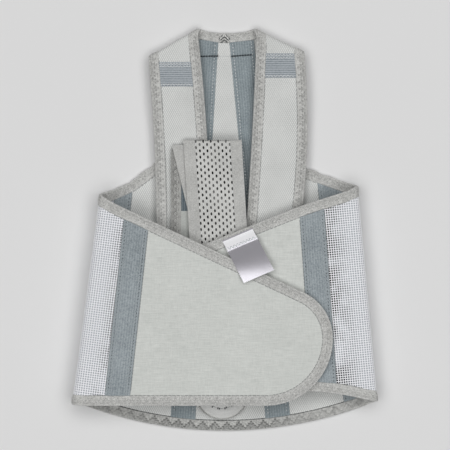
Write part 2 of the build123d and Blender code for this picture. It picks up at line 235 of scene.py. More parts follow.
def twill(t, obj, uv):
    """Fine steep twill of the straps and the back: raised points in staggered rows."""
    ribs = t.group(RIBS, t.stretched(obj, (1.0, 0.5, 1.0), 45), TWILL_RIB, TWILL_PICK)
    grain = t.group(GRAIN, obj, 1300.0, 34.0)
    points = t.total((ribs["Ribs"], 0.35), (ribs["Both"], 0.65))
    shade = t.total((points, 0.44), (grain["Tone"], 0.7))
    colour = t.mix(t.ramp(shade, 2.6, -0.7), (178, 180, 178), (226, 227, 225))
    return colour, t.total((points, 0.7), (grain["Fine"], 0.5))


def bound(low, high, seam, stitches, relief=1.0):
    """Soft folded knit tape, pulled in along its zigzag seam, with painted shade down the seam's groove and painted
    light inland of it and along its fold.
    """
    def build(t, obj, uv):
        grain = t.group(GRAIN, obj, 1000.0, 60.0)
        loops, specks = t.noise(obj, 520.0, 2.0, 0.7), t.noise(obj, 1150.0, 1.0, 0.5)
        sewn = t.group(ZIGZAG, uv, *(size * MM for size in seam), stitches)
        shade = t.total((loops, 0.2 + 0.25 * relief), (grain["Tone"], 0.35), (specks, 0.45 - 0.25 * relief))
        shade = t.math("MULTIPLY_ADD", shade, 3.2, -1.1 - 0.15 * relief)
        # Painted light inland of the seam and along the fold; painted shade down the seam's groove.
        shade = t.math("MULTIPLY_ADD", sewn["Inner"], 0.3 * relief, shade)
        shade = t.ramp(sewn["Groove"], -0.6 * relief, t.math("MULTIPLY_ADD", sewn["Fold"], 0.3, shade))
        height = t.total((loops, 0.6), (grain["Fine"], 0.4), (sewn["Groove"], -1.5 * relief))
        return t.mix(shade, low, high), height
    return build


def hem_bound(t, obj, uv):
    """The hem's binding, in darker colours than the other bindings as painted shade: its seam bites deepest over the
    middle of the back.
    """
    colour, height = bound((108, 109, 107), (204, 204, 201), HEM_SEAM, 3, 1.2)(t, obj, uv)
    blotches = t.total((t.noise(obj, 260.0, 2.0, 0.6), 0.55), (t.group(GRAIN, obj, 1000.0, 60.0)["Tone"], 0.45))
    # Paler, calmer tape that takes over towards the ends: painted light over the shade there.
    calm = t.mix(t.ramp(blotches, 3.6, -1.3), (146, 146, 144), (206, 206, 203))
    share = t.group(CALM, obj)["Share"]
    return t.mix(share, colour, calm), t.math("MULTIPLY", height, t.math("SUBTRACT", 1.0, share))


def ribbed(low, high, strength, pitch, flecks=0.2):
    """Woven tape: ribs along it, flecked where the picks show."""
    def build(t, obj, uv):
        ribs = t.group(RIBS, uv, pitch, 0.0012)
        grain = t.group(GRAIN, obj, 1200.0, 45.0)
        fleck = t.noise(obj, 620.0, 1.0, 0.5)
        shade = t.total((ribs["Ribs"], strength), (grain["Tone"], 1.0 - strength), (ribs["Both"], 0.2),
                        (fleck, flecks + 0.2))
        shade = t.math("SUBTRACT", shade, 0.06 + flecks / 2)
        return t.mix(t.ramp(shade, 1.5, -0.35), low, high), t.total((ribs["Ribs"], 1.0), (ribs["Picks"], 0.5))
    return build


def yarn(low, high, grain_scale=1500.0):
    """Plain spun yarn between two shades."""
    def build(t, obj, uv):
        grain = t.group(GRAIN, obj, grain_scale, 40.0)
        return t.mix(t.ramp(grain["Tone"], 3.0, -1.0), low, high), grain["Fine"]
    return build


def hem_thread(t, obj, uv):
    """The hem's sewing: it sinks into the tape where the tape smooths out, and is paler there with the tape's painted
    light.
    """
    proud, height = yarn((132, 132, 130), (170, 170, 167))(t, obj, uv)
    sunk, _ = yarn((156, 156, 154), (192, 192, 189))(t, obj, uv)
    return t.mix(t.group(CALM, obj)["Share"], proud, sunk), height


def pit_floor(t, obj, uv):
    """Painted shade down the holes of the side mesh: dark over the layers below, paler towards the fold."""
    patches = t.noise(obj, 38.0, 2.0, 0.6)
    inland = t.ramp(t.math("ABSOLUTE", t.parts(uv)["X"]), 50.0, -0.1)
    return t.mix(t.math("MULTIPLY", inland, t.ramp(patches, -6.0, 3.9)), (172, 175, 182), (8, 9, 12)), None


def pierced(t, obj, uv):
    """Painted shade at the far side of the punched holes: mostly dark, here and there the ply below."""
    return t.mix(t.ramp(t.noise(obj, 55.0, 2.0, 0.6), 5.0, -2.2), (14, 14, 16), (118, 118, 117)), None


def paper(t, obj, uv):
    return t.mix(t.noise(obj, 900.0), (226, 226, 226), (228, 228, 228)), None


def satin_weave(t, obj, uv):
    ribs, grain = t.group(RIBS, uv, 0.00035, 0.0007), t.group(GRAIN, obj, 1400.0, 60.0)
    return t.mix(grain["Tone"], (188, 186, 193), (206, 204, 210)), t.total((ribs["Ribs"], 1.0), (grain["Fine"], 0.4))


def brushed_steel(t, obj, uv):
    streaks = t.noise(t.stretched(obj, (400, 30, 400)), 1.0, 3.0, 0.6)
    return t.mix(streaks, (150, 152, 156), (196, 198, 202)), streaks


TWILL_RIB, TWILL_PICK = 0.001385, 0.00138       # in metres, as the shaders measure
KNIT = {"roughness": 0.95, "sheen": 0.2}
FLAP = cloth("brushed_loop", brushed, **KNIT, bump=0.35, depth=0.0002)
TWILL = cloth("strap_twill", twill, roughness=0.92, bump=0.5, depth=0.00025)
BINDING = cloth("folded_binding", bound((138, 138, 136), (220, 220, 217), SEAM, 2, 0.4), **KNIT, bump=0.5)
STRAP_BINDING = cloth("strap_binding", bound((143, 143, 141), (213, 213, 210), SEAM, 2, 0.9), **KNIT, bump=0.6)
# The hem's binding is painted darker, as painted shade.
SHADED_HEM_BINDING = cloth("hem_binding_painted_shade", hem_bound, **KNIT, bump=0.7, depth=0.0004)
# The returning ply's binding, patch and cloth are darker copies of the strap's: painted shade where it lies deep in
# the front.
SHADED_RETURN_BINDING = cloth("return_binding_shade", bound((122, 122, 120), (178, 178, 175), SEAM, 2), **KNIT, bump=0.6)
WEBBING = cloth("slate_webbing", ribbed((108, 117, 122), (175, 183, 187), 0.03, 0.0026, 0.45), 0.75, bump=0.06)
# The spine tapes' webbing is a darker copy of the front tapes': painted shade on the back between the straps.
SHADED_SPINE_WEBBING = cloth("spine_webbing_shade", ribbed((97, 107, 112), (163, 173, 177), 0.06, 0.0026, 0.35), 0.75, bump=0.09)
PATCH = cloth("ribbed_patch", ribbed((112, 120, 126), (184, 190, 195), 0.34, 0.0022), 0.75, bump=0.25)
SHADED_RETURN_PATCH = cloth("return_patch", ribbed((62, 72, 78), (118, 128, 134), 0.2, 0.0022), 0.75, bump=0.15)
SHADED_RETURN_CLOTH = cloth("return_cloth_shade", yarn((160, 163, 160), (190, 192, 188), 1000.0), 0.92)
SHADE = cloth("perforation_shade", pierced, 0.95)
MARGIN = cloth("elastic_margin", yarn((158, 158, 156), (206, 206, 203), 900.0), bump=0.6)
MESH = cloth("spacer_mesh_face", yarn((242, 243, 246), (252, 253, 255)), 0.75, sheen=0.8, bump=0.3)
MESH_PIT_SHADE = cloth("spacer_mesh_pit_shade", pit_floor, 0.95)
ELASTIC = cloth("perforated_elastic", yarn((184, 184, 181), (214, 214, 211), 1100.0), 0.85, bump=0.5)
PAD = cloth("pad_cloth", yarn((200, 201, 199), (226, 226, 224), 1000.0))
SATIN = cloth("label_satin", satin_weave, 0.22, sheen=0.0, bump=0.1, depth=0.0001, Metallic=0.6)
# The label's hem is the face's satin painted near white and matt: a painted highlight.
HEM_SATIN_HIGHLIGHT = cloth("label_hem_highlight", yarn((240, 240, 243), (252, 252, 254)), 0.45, sheen=0.0, bump=0.1)
HOOK = cloth("hook_plastic", yarn((186, 188, 186), (200, 202, 200)), 0.45, sheen=0.0, bump=0.1)
PALE_THREAD = cloth("pale_thread", yarn((224, 226, 226), (242, 244, 244)), 0.7)
BOUND_THREAD = cloth("binding_thread", yarn((204, 204, 201), (226, 226, 223)), 0.8)
TACK_THREAD = cloth("tack_thread", hem_thread, 0.8)
EDGE_THREAD_AND_SHADE = cloth("edge_thread_and_shade", yarn((132, 134, 134), (168, 170, 169)), 0.8)
HEM_SHADOW_THREAD = cloth("hem_edge_shadow", yarn((60, 63, 64), (104, 107, 107)), 0.8)
DARK_THREAD_AND_SHADE = cloth("dark_thread_and_shade", yarn((30, 36, 40), (60, 66, 72)), 0.7)
NEEDLE_HOLE_SHADE = cloth("stitch_hole_shade", yarn((58, 64, 68), (86, 92, 96)), bump=0.2)
SLATE_THREAD = cloth("slate_thread", yarn((178, 186, 190), (206, 213, 216)), 0.7)
STEEL = cloth("stay_steel", brushed_steel, roughness=0.35, sheen=0.0, bump=0.1, depth=0.00005, Metallic=1.0)
for node_name, node in nodes.items():
    if node_name.endswith("stay"):
        node.data.materials.clear()
        node.data.materials.append(STEEL)


# ---- meshes
def piece(name, points, faces, materials, uv=None, choice=None, angle=50):
    """A finished piece from points in millimetres, with its faces turned outward."""
    mesh = bpy.data.meshes.new(name)
    mesh.from_pydata((np.asarray(points, float) * MM).tolist(), [], [list(map(int, f)) for f in faces])
    for material in materials:
        mesh.materials.append(material)
    if choice is not None:
        mesh.polygons.foreach_set("material_index", np.asarray(choice, np.int32))
    if uv is not None:
        layer = mesh.uv_layers.new(name="cloth")
        corner = np.zeros(len(mesh.loops), np.int32)
        mesh.loops.foreach_get("vertex_index", corner)
        layer.data.foreach_set("uv", (np.asarray(uv, float) * MM)[corner].ravel())
    bm = bmesh.new()
    bm.from_mesh(mesh)
    bmesh.ops.recalc_face_normals(bm, faces=bm.faces)
    bm.to_mesh(mesh)
    bm.free()
    mesh.shade_smooth()
    mesh.set_sharp_from_angle(angle=radians(angle))
    mesh.validate()
    obj = bpy.data.objects.new(name, mesh)
    scene.collection.objects.link(obj)
    return obj


def signed_area(points):
    """The area inside an outline, negative when it runs clockwise."""
    ahead = np.roll(points, -1, axis=0)
    return np.sum(points[:, 0] * ahead[:, 1] - points[:, 1] * ahead[:, 0]) / 2


def outline(node):
    """The outline of a flat CAD piece from above, which of its edges are full height, and its levels."""
    bm = bmesh.new()
    bm.from_mesh(nodes[node].data)
    bmesh.ops.remove_doubles(bm, verts=bm.verts, dist=1e-6)
    bm.normal_update()
    low, high = min(v.co.z for v in bm.verts), max(v.co.z for v in bm.verts)
    lid = {f for f in bm.faces if f.normal.z > 0.99 and f.calc_center_median().z > high - 3e-5}
    rim = [e for e in bm.edges if sum(f in lid for f in e.link_faces) == 1]
    at = {}
    for e in rim:
        for v in e.verts:
            at.setdefault(v, []).append(e)
    points, walls, e, v = [], [], rim[0], rim[0].verts[0]
    for _ in rim:
        points.append((v.co.x / MM, v.co.y / MM))
        walls.append(min(w.co.z for f in e.link_faces for w in f.verts) < low + 1e-5)
        v = e.other_vert(v)
        e = next(x for x in at[v] if x is not e)
    bm.free()
    points = np.array(points)
    if signed_area(points) < 0:
        points, walls = points[::-1], list(np.roll(walls[::-1], -1))
    return points, walls, low / MM, high / MM


def lengths(line):
    """Distance along a line of points up to each of them."""
    return np.concatenate([[0], np.cumsum(np.linalg.norm(np.diff(line, axis=0), axis=1))])


def sample(line, at, known=None):
    """Points of a line at given distances along it."""
    known = lengths(line) if known is None else known
    return np.stack([np.interp(at, known, line[:, k]) for k in range(line.shape[1])], axis=1)


def four_corners(points):
    """The indices of the four points at which an outline turns most."""
    before, after = points - np.roll(points, 1, axis=0), np.roll(points, -1, axis=0) - points
    turn = np.arctan2(before[:, 0] * after[:, 1] - before[:, 1] * after[:, 0], (before * after).sum(1))
    return np.argsort(np.abs(turn))[-4:]


def four_sides(node):
    """The two long and the two short sides of a piece with four corners.

    Returns long side a, long side b running the same way, and the levels.  For a binding a is the
    garment's edge and b the tape's inner edge.
    """
    points, walls, low, high = outline(node)
    corners = sorted(four_corners(points))
    sides = []
    for k in range(4):
        first, last = corners[k], corners[(k + 1) % 4]
        span = np.arange(first, last + (len(points) if last <= first else 0) + 1) % len(points)
        sides.append((points[span], np.mean([walls[i] for i in span[:-1]])))
    size = [lengths(s)[-1] for s, _ in sides]
    k = 0 if size[0] + size[2] > size[1] + size[3] else 1
    (a, full_a), (b, full_b) = sides[k], sides[k + 2]
    if full_b > full_a:
        a, b = b, a
    return a, b[::-1], low, high


def closest(spots, points):
    """For each point the number of the closest spot in plan, and its distance."""
    tree = KDTree(len(spots))
    for i, p in enumerate(spots):
        tree.insert((p[0], p[1], 0), i)
    tree.balance()
    found = [tree.find((p[0], p[1], 0)) for p in points]
    return np.array([f[1] for f in found]), np.array([f[2] for f in found])


def nearest_along(line, points, step=0.25):
    """How far along a line the closest spot to each point is."""
    marks = np.arange(0, lengths(line)[-1] + step, step)
    return marks[closest(sample(line, marks), points)[0]]


def smooth(x, low=0.0, high=1.0):
    x = np.clip((np.asarray(x, float) - low) / (high - low), 0, 1)
    return x * x * (3 - 2 * x)


class Run:
    """A run of cloth: its edge, the way across it, and its face's direction, station by station."""

    def __init__(self, edge, across, face, lift=None):
        self.edge, self.across, self.face = (np.asarray(a, float) for a in (edge, across, face))
        if lift is not None:
            rise, rise_in = lift(self.edge), lift(self.edge + self.across)
            self.edge[:, 2] += rise
            self.across[:, 2] += rise_in - rise
        self.u = lengths(self.edge)
        self.width = float(np.median(np.linalg.norm(self.across, axis=1)))

    def spot(self, u, s, t):
        """The point u along the edge, s across (in mm) and t above the middle of the cloth."""
        edge, across, face = (sample(a, np.atleast_1d(u), self.u) for a in (self.edge, self.across, self.face))
        s, t = np.atleast_1d(s)[:, None], np.atleast_1d(t)[:, None]
        return edge + across * (s / self.width) + face * t

    def facing(self, u):
        return sample(self.face, np.atleast_1d(u), self.u)


def run_down(line, y):
    """A line carried straight on from its low end to a level y."""
    flip = line[0][1] < line[-1][1]
    line = line[::-1] if flip else line
    known = lengths(line)
    tangent = line[-1] - sample(line, [known[-1] - 20.0], known)[0]
    line = np.vstack([line, line[-1] + tangent * (y - line[-1][1]) / tangent[1]])
    return line[::-1] if flip else line


ENDS = 14.0                 # over this length at each end a run's way across eases to the piece's corners


def flat_run(node, step, lift=None, even=False, reach=None):
    """The run of a flat CAD piece with four corners, at the middle of its thickness.

    With reach it is carried on past its low end, to that y.
    """
    a, b, low, high = four_sides(node)
    if reach is not None:
        a, b = run_down(a, reach), run_down(b, reach)
    total_a, total_b = lengths(a)[-1], lengths(b)[-1]
    marks = np.linspace(0, total_a, max(3, int(total_a / step) + 1))
    edge, share = sample(a, marks), marks / total_a * total_b
    if not even:
        near = np.maximum.accumulate(nearest_along(b, edge))
        rise, fall = smooth(marks, 0, ENDS), smooth(total_a - marks, 0, ENDS)
        near = near * rise * fall + marks * (total_b / total_a) * (1 - rise * fall)
        near[0], near[-1] = 0, total_b
        share = np.clip(np.maximum.accumulate(near), 0, total_b)
    inner = sample(b, share)
    middle = (low + high) / 2
    edge3 = np.column_stack([edge, np.full(len(edge), middle)])
    across = np.column_stack([inner - edge, np.zeros(len(edge))])
    return Run(edge3, across, np.tile(UP, (len(edge), 1)), lift), (high - low) / 2


def shift_of(turn):
    """How far a fold's cut edge has gone from its lower end to its upper one, in plan.

    Seen from above both halves of the edge run straight to a point at the crease.
    """
    half_way = np.sin(turn) / 2
    return np.where(np.asarray(turn) < pi / 2, half_way, 1 - half_way)


FOLD_SQUARE = 0.58          # 1 is a round fold, less is squarer
FOLD_ROUND = 3.44           # the way round that fold, in radii


def round_turn(low_end, high_end, outward, steps):
    """The run of a tape that turns over from the end of a lower layer to the end of an upper one.

    Each end is (edge point, inner point); the tape goes round outside them, and its face looks out.
    """
    (edge_low, in_low), (edge_high, in_high) = low_end, high_end
    turn = np.linspace(0, pi, steps + 1)[:, None]
    outward_by, up_by = (a[:, None] for a in pressed_fold(turn.ravel() / pi))
    share = shift_of(turn) * (1, 1, 0) + (1 + up_by) / 2 * (0, 0, 1)
    radius = (edge_high[2] - edge_low[2]) / 2
    out = np.array(outward, float)

    def line(low, high):
        return low * (1 - share) + high * share + out * radius * outward_by

    edge, inner = line(edge_low, edge_high), line(in_low, in_high)
    return Run(edge, inner - edge, out * np.sin(turn) - UP * np.cos(turn))


def pressed_fold(share):
    """Out and up, in radii, along a fold pressed a little flat: share is 0 at its foot and 1 at its top."""
    turn = np.linspace(0, pi, 361)
    outward = np.sin(turn) ** FOLD_SQUARE
    up = -np.sign(np.cos(turn)) * np.abs(np.cos(turn)) ** FOLD_SQUARE
    known = lengths(np.column_stack([outward, up]))
    return np.interp(share * known[-1], known, outward), np.interp(share * known[-1], known, up)


def ends_of(run):
    """The two ends of a run, each as its edge point and inner point."""
    return [(run.edge[k], run.edge[k] + run.across[k]) for k in (0, -1)]


def sweep(name, run, profile, materials, waver, angle):
    """A closed section carried along a run.  The section is points (across, height) in mm."""
    section = np.asarray(profile, float)
    n, m = len(run.u), len(section)
    scale = (section[:, 0] / run.width)[None, :, None]
    points = run.edge[:, None, :] + run.across[:, None, :] * scale + run.face[:, None, :] * section[None, :, 1:2]
    if waver is not None:
        shift = waver(run.u[:, None], section[None, :, 0], section[None, :, 1])
        points = points + run.face[:, None, :] * shift[..., None]
    index = np.arange(n * m).reshape(n, m)
    nxt = np.roll(index, -1, axis=1)
    faces = np.stack([index[:-1], nxt[:-1], nxt[1:], index[1:]], axis=-1).reshape(-1, 4).tolist()
    faces += [index[0].tolist(), index[-1][::-1].tolist()]
    uv = np.stack(np.broadcast_arrays(section[None, :, 0], run.u[:, None]), axis=-1).reshape(-1, 2)
    return piece(name, points.reshape(-1, 3), faces, materials, uv=uv, angle=angle)


def rows(values, scale, seed=0.0):
    """Smooth seeded wandering between -1 and 1 along a run."""
    return np.array([noise((v / scale, seed, 7.3 * seed)) * 1.6 for v in np.ravel(values)]).reshape(np.shape(values))


# ---- bound edges
def folded_profile(half, leaf, width, puff=0.28, groove=2.0):
    """Section of a tape folded round an edge: two leaves, soft where they puff, tight at the seam."""
    top = []
    for k in range(7):                                  # round the fold
        a = pi / 2 - k * pi / 12
        top.append((half * 0.5 * (1 - sin(pi / 2 - a)), half * sin(a)))
    leafs = [(width * 0.28, half + puff * 0.8), (width * 0.5, half + puff), (width * 0.68, half + puff * 0.5),
             (width - groove, half - 0.26), (width - groove * 0.55, half - 0.06), (width - 0.35, half - 0.1),
             (width, half - leaf + 0.06)]
    upper = leafs[::-1] + top
    lower = [(s, -t) for s, t in upper[::-1][1:]]
    slot = [(width, -(half - leaf)), (leaf, -(half - leaf)), (leaf, half - leaf), (width, half - leaf)]
    return upper + lower + slot


def crowned(width, count, half, crown):
    """Section of a plain ply: flat below, with a crown above."""
    across = np.linspace(0, width, count)
    return [(s, half + crown(s)) for s in across] + [(s, -half) for s in across[::-1]]


def ruffle(amount, pitch, seed, half):
    """Little puckers that a seam pulls in a tape."""
    def waver(u, s, t):
        wander = rows(u, pitch, seed) + 0.5 * rows(u, pitch * 0.37, seed + 5)
        side = np.where(t > half * 0.5, 1.0, np.where(t < -half * 0.5, -0.3, 0.0))    # it lies on its lower leaf
        inland = np.clip(s / 3.0, 0, 1)
        return amount * wander * side * inland
    return waver


def rice(points_a, points_b, faces_out, radius, sink):
    """Stitches: for each pair of points a thread that comes up out of the cloth and goes down again."""
    sides, rings = 5, 4
    a, b, n = (np.asarray(x, float) for x in (points_a, points_b, faces_out))
    long = np.linalg.norm(b - a, axis=1, keepdims=True)
    along = (b - a) / np.maximum(long, 1e-6)
    side = np.cross(n, along)
    up = np.cross(along, side)
    verts, pattern = [], []
    for k in np.linspace(0, 1, rings):
        arch = sin(pi * (0.12 + 0.76 * k))
        centre = a + along * long * k + up * (radius * 1.1 * arch - sink)
        r = radius * (0.55 + 0.45 * arch)
        verts += [centre + side * (r * cos(spin)) + up * (r * sin(spin))
                  for spin in 2 * pi * np.arange(sides) / sides]
    for first in range(0, (rings - 1) * sides, sides):
        pattern += [(first + j, first + (j + 1) % sides, first + sides + (j + 1) % sides, first + sides + j)
                    for j in range(sides)]
    per = rings * sides
    base = np.arange(len(a))[:, None] * per
    quads = np.concatenate([base + np.array(p) for p in pattern]).tolist()
    caps = np.concatenate([base + np.arange(sides)[::-1], base + np.arange(per - sides, per)]).tolist()
    return np.stack(verts, axis=1).reshape(-1, 3), quads + caps


def height_over(line):
    """The height of a section's upper face as a function of the distance across."""
    across, height = np.array(sorted(line, key=lambda point: point[0])).T
    return lambda s: np.interp(s, across, height)


def top_height(profile):
    """The same over a folded tape, down to the crease of its fold."""
    crease = min(range(len(profile)), key=lambda k: profile[k][0])
    return height_over([point for point in profile[:crease + 1] if point[1] > 0])


def zigzag(run, height, near, far, pitch, each=2, start=0.0, both=True, gap=0.14):
    """Pairs of points of a zigzag seam, each leg sewn in several stitches."""
    legs = np.arange(max(1, int((run.u[-1] - start) / (pitch / 2))) + 1)
    u, s = start + legs * pitch / 2, np.where(legs % 2 == 0, near, far)
    share = np.arange(each) / each

    def along(line, part):
        return (line[:-1, None] + np.diff(line)[:, None] * part).ravel()

    u0, s0 = (along(line, share + gap / each / 2) for line in (u, s))
    u1, s1 = (along(line, share + (1 - gap / 2) / each) for line in (u, s))
    return both_faces(run, height, (u0, s0), (u1, s1), (u0 + u1) / 2, both)


def straight_seam(run, height, s, pitch, share, margin=2.0):
    """Pairs of points of a straight seam that runs s mm in from the edge."""
    u = np.arange(margin, run.u[-1] - margin - pitch, pitch)
    s = np.full(len(u), float(s))
    return both_faces(run, height, (u, s), (u + pitch * share, s), u, False)


def both_faces(run, height, begin, end, middle, both):
    """A seam's points on the upper face of a run, and on its lower one too."""
    faces = [(run.spot(*begin, side * height(begin[1])), run.spot(*end, side * height(end[1])),
              run.facing(middle) * side) for side in ((1, -1) if both else (1,))]
    return [np.concatenate(points) for points in zip(*faces)]


def level_at(height):
    """A section that is flat: the same height all the way across."""
    return lambda s: np.full(np.shape(s), height)


def attach(obj, body, slot, *replaced, blend=None):
    """Hands a piece to its body, or with a blend bakes it in place, and hides the CAD nodes it takes over from."""
    if replaced:
        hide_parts(*replaced)
    if blend is None:
        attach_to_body(obj, body)
    else:
        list(blend)
        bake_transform(obj)
    return obj


def flat_stitches(begin, end):
    """A seam of stitches that face up, given where each begins and ends."""
    return [(begin, end, np.tile(UP, (len(begin), 1)))]


def sew(name, seams, thread, radius, body, slot, *replaced, sink=0.08, blend=None):
    """A piece of stitches, from the pairs of points of its seams and the way each pair faces."""
    points, faces = rice(*(np.concatenate(x) for x in zip(*seams)), radius, sink)
    return attach(piece(name, points, faces, [thread], angle=80), body, slot, *replaced, blend=blend)


def lay(name, run, profile, finish, body, slot, *replaced, held="folded", flat=None, waver=None, angle=55,
        blend=None):
    """A tape or a ply carried along its run.  flat, its cut across and along where that isn't the run's own, is not
    used.
    """
    tape = attach(sweep(name, run, profile, [finish], waver, angle), body, slot, *replaced, blend=blend)
    return tape


def box_of(node):
    """The low and the high corner of a CAD piece's box, in millimetres."""
    return [np.array(corner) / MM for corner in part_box(node)]


# ---- how the layers lift
def outer_lift(p):
    """The outer flap's free tip stands a little off the layer below it."""
    x, y = p[:, 0], p[:, 1]
    return 1.5 * smooth(x, 55, 112) + 0.35 * smooth(x, -60, 0) * np.sin(x / 17 + y / 29) ** 2


def strap_lift(p):
    """A strap bows up between its fold and where it is tucked in."""
    y = p[:, 1]
    return 2.2 * smooth(y, 95, 135) * smooth(192 - y, 0, 40)


STEP = 2.2                                      # between two stations of a run
LEAF, RETURN_LEAF = 0.6, 0.4                    # how thick a binding's two leaves are
STRAP_REACH, RETURN_REACH = -31.0, -26.0        # how far down the tucked ends go on
RETURN_EDGE, RETURN_SAG = -54.5, 3.0            # where the left strap sags under the returning ply's edge
WRAP = 2.0                                      # what a binding needs to get round the cloth it wraps
runs = {}


def pull_up(run):
    """Pulls the neck binding up a little over its middle."""
    middle = 1 - np.clip(np.abs(run.edge[:, 0]) / 26.0, 0, 1) ** 2
    run.edge[:, 1] += 1.3 * middle
    run.across[:, 1] += 0.7 * middle


def wander(run, seed):
    """Lets a binding's outline wander where its seam gathers it."""
    unit = run.across / np.linalg.norm(run.across, axis=1)[:, None]
    out = (0.75 * rows(run.u, 6.5, 90.0 + seed))[:, None] * unit
    out[[0, -1]] = 0.0
    run.edge, run.across = run.edge - out, run.across + out


def bind(seed, part, body, lift):
    """One bound edge: its folded tape, the zigzag through it and the needle line beside it, whose grey is also
    painted shade.
    """
    name = part + "_binding"
    hem, strap, returning = (word in part for word in ("hem", "strap", "return"))
    run, half = flat_run(name, STEP, lift, reach=RETURN_REACH if returning else STRAP_REACH if strap else None)
    if part == "neck":
        pull_up(run)
    if "armhole" in part:
        wander(run, seed)
    profile = folded_profile(half, RETURN_LEAF if returning else LEAF, run.width)
    runs[name] = run
    finish = SHADED_HEM_BINDING if hem else SHADED_RETURN_BINDING if returning else STRAP_BINDING if strap else BINDING
    pucker = (0.4, 8.5) if "armhole" in part else (0.3, 6.5) if strap else (0.14, 5.5)
    lay(name + "_tape", run, profile, finish, body, "binding", name, flat=(2 * run.width + WRAP, run.u[-1]),
        waver=ruffle(*pucker, seed, half))
    pitch, near, far = HEM_SEAM if hem else SEAM
    thread, radius, each = (TACK_THREAD, 0.24, 3) if hem else (BOUND_THREAD, 0.2, 2)
    sew(name + "_seam", [zigzag(run, top_height(profile), near, far, pitch, each, SEAM_START)], thread, radius,
        body, "binding")
    if not returning:
        # Along the hem the edge row is dark: painted shadow under the binding's inner edge.
        thread, radius, share = (HEM_SHADOW_THREAD, 0.34, 0.95) if hem else (EDGE_THREAD_AND_SHADE, 0.26, 0.8)
        # Elsewhere the grey edge row is a seam and also painted shade along the binding's inner edge.
        sew(name + "_edge_seam", [straight_seam(run, level_at(half - LEAF + 0.1), run.width + 0.25, 4.2, share)],
            thread, radius, body, "binding")


for seed, bound_edge in enumerate((
        ("back_hem", "back", None), ("left_armhole", "back", None), ("right_armhole", "back", None),
        ("neck", "back", None), ("outer_flap", "outer_flap", outer_lift), ("inner_flap", "inner_flap", None),
        ("left_strap_outer", "left_strap", strap_lift), ("left_strap_inner", "left_strap", strap_lift),
        ("right_strap_outer", "right_strap", strap_lift), ("right_strap_inner", "right_strap", strap_lift),
        ("left_return_outer", "left_strap", None), ("left_return_inner", "left_strap", None))):
    bind(seed, *bound_edge)


# ---- bindings that turn with a fold
def end_near(name, point):
    """The end of a binding's run that is closest to a point."""
    return min(ends_of(runs[name]), key=lambda e: np.linalg.norm(e[0][:2] - np.array(point)))


def outward_of(axis):
    """The level direction square to a fold's axis that leads away from the belt's middle."""
    along = axis[1] - axis[0]
    out = np.array((along[1], -along[0], 0.0)) / hypot(along[0], along[1])
    return out if np.dot(out, axis[0] + axis[1]) > 0 else -out


def inland(end, share):
    """A point that share of the way from a binding's edge to its inner edge."""
    return end[0] + (end[1] - end[0]) * share


def turned_binding(name, node, ends, out, blend, seed, steps):
    """A binding that turns over with a fold."""
    run = round_turn(*ends, out, steps)
    profile = folded_profile(TURN_HALF, LEAF, run.width)
    lay(name + "_tape", run, profile, BINDING, None, "binding", node, blend=blend,
        flat=(2 * run.width + WRAP, max(run.u[-1], SHORTEST)), waver=ruffle(0.11, 5.5, seed, TURN_HALF))
    pitch, near, far = SEAM
    sew(name + "_seam", [zigzag(run, top_height(profile), near, far, pitch, start=0.6)], BOUND_THREAD, 0.2,
        None, "binding", blend=blend)


def across_layers(low, high):
    """Start and end of a bend that goes from the lower layer to the upper one."""
    return (0, 0, low * MM), (0, 0, high * MM)


SHORTEST = 10.5             # the least length given for a turn's cut
TURN_HALF = 1.8             # half the thickness of a binding where it turns
SIDES = (("left", "outer_flap", -140.0, -119.0), ("right", "inner_flap", 144.0, 122.4))
corner, fold_axis, fold_out = {}, {}, {}
seed = 40                   # the puckers of the turned bindings are seeded on from here
for side, flap, x_hem, x_top in SIDES:
    corner[side] = {
        place: (end_near(edge + "_binding", at), end_near(flap + "_binding", at))
        for place, edge, at in (("hem", "back_hem", (x_hem, -176)), ("top", side + "_armhole", (x_top, 35)))}
    fold_axis[side] = np.array([corner[side][place][0][0] for place in ("hem", "top")])
    fold_out[side] = outward_of(fold_axis[side])
    for place, ends in corner[side].items():
        seed += 1
        node = f"{side}_fold_{place}_binding"
        blend = ("back", flap) + across_layers(*(e[0][2] for e in ends))
        turned_binding(node, node, ends, fold_out[side], blend, seed, steps=22)

# ---- shoulder folds
TUCKED = 0.85               # the cloth runs this share of the way in under its bindings
for side, x_arm, x_neck in (("left", -70.0, -25.0), ("right", 73.0, 28.0)):
    strap, node = side + "_strap", side + "_shoulder_fold"
    arm = end_near(side + "_armhole_binding", (x_arm, 175)), end_near(strap + "_outer_binding", (x_arm, 172))
    neck = end_near("neck_binding", (x_neck, 198)), end_near(strap + "_inner_binding", (x_neck, 195))
    out = outward_of(np.array([arm[0][0], neck[0][0]]))
    blend = ("back", strap) + across_layers(arm[0][0][2], arm[1][0][2])
    for part, ends in (("arm", arm), ("neck", neck)):
        seed += 1
        turned_binding(f"{node}_{part}_edge", node, ends, out, blend, seed, steps=12)
    run = round_turn(*((inland(arm[k], TUCKED), inland(neck[k], TUCKED)) for k in (0, 1)), out, steps=12)
    profile = crowned(run.width, 9, 1.2, lambda s: 0.35 * sin(pi * s / run.width))
    lay(node + "_cloth", run, profile, TWILL, None, "strap_cloth", node, blend=blend,
        flat=(run.width, max(run.u[-1], SHORTEST)))


# ---- panels
def densify(points, step):
    closed = np.vstack([points, points[:1]])
    total = lengths(closed)
    marks = np.concatenate([np.linspace(total[i], total[i + 1], max(1, round((total[i + 1] - total[i]) / step)),
                                        endpoint=False) for i in range(len(points))])
    return sample(closed, marks, total)


def inset(points, amount):
    """A counter-clockwise outline drawn in by an amount."""
    ahead, behind = np.roll(points, -1, axis=0) - points, points - np.roll(points, 1, axis=0)
    ahead /= np.maximum(np.linalg.norm(ahead, axis=1, keepdims=True), 1e-9)
    behind /= np.maximum(np.linalg.norm(behind, axis=1, keepdims=True), 1e-9)
    normal = np.column_stack([-(ahead + behind)[:, 1], (ahead + behind)[:, 0]])
    size = np.linalg.norm(normal, axis=1, keepdims=True)
    return points + normal / np.maximum(size, 1e-6) * amount * np.clip(2 / np.maximum(size, 0.8), 1, 1.6)


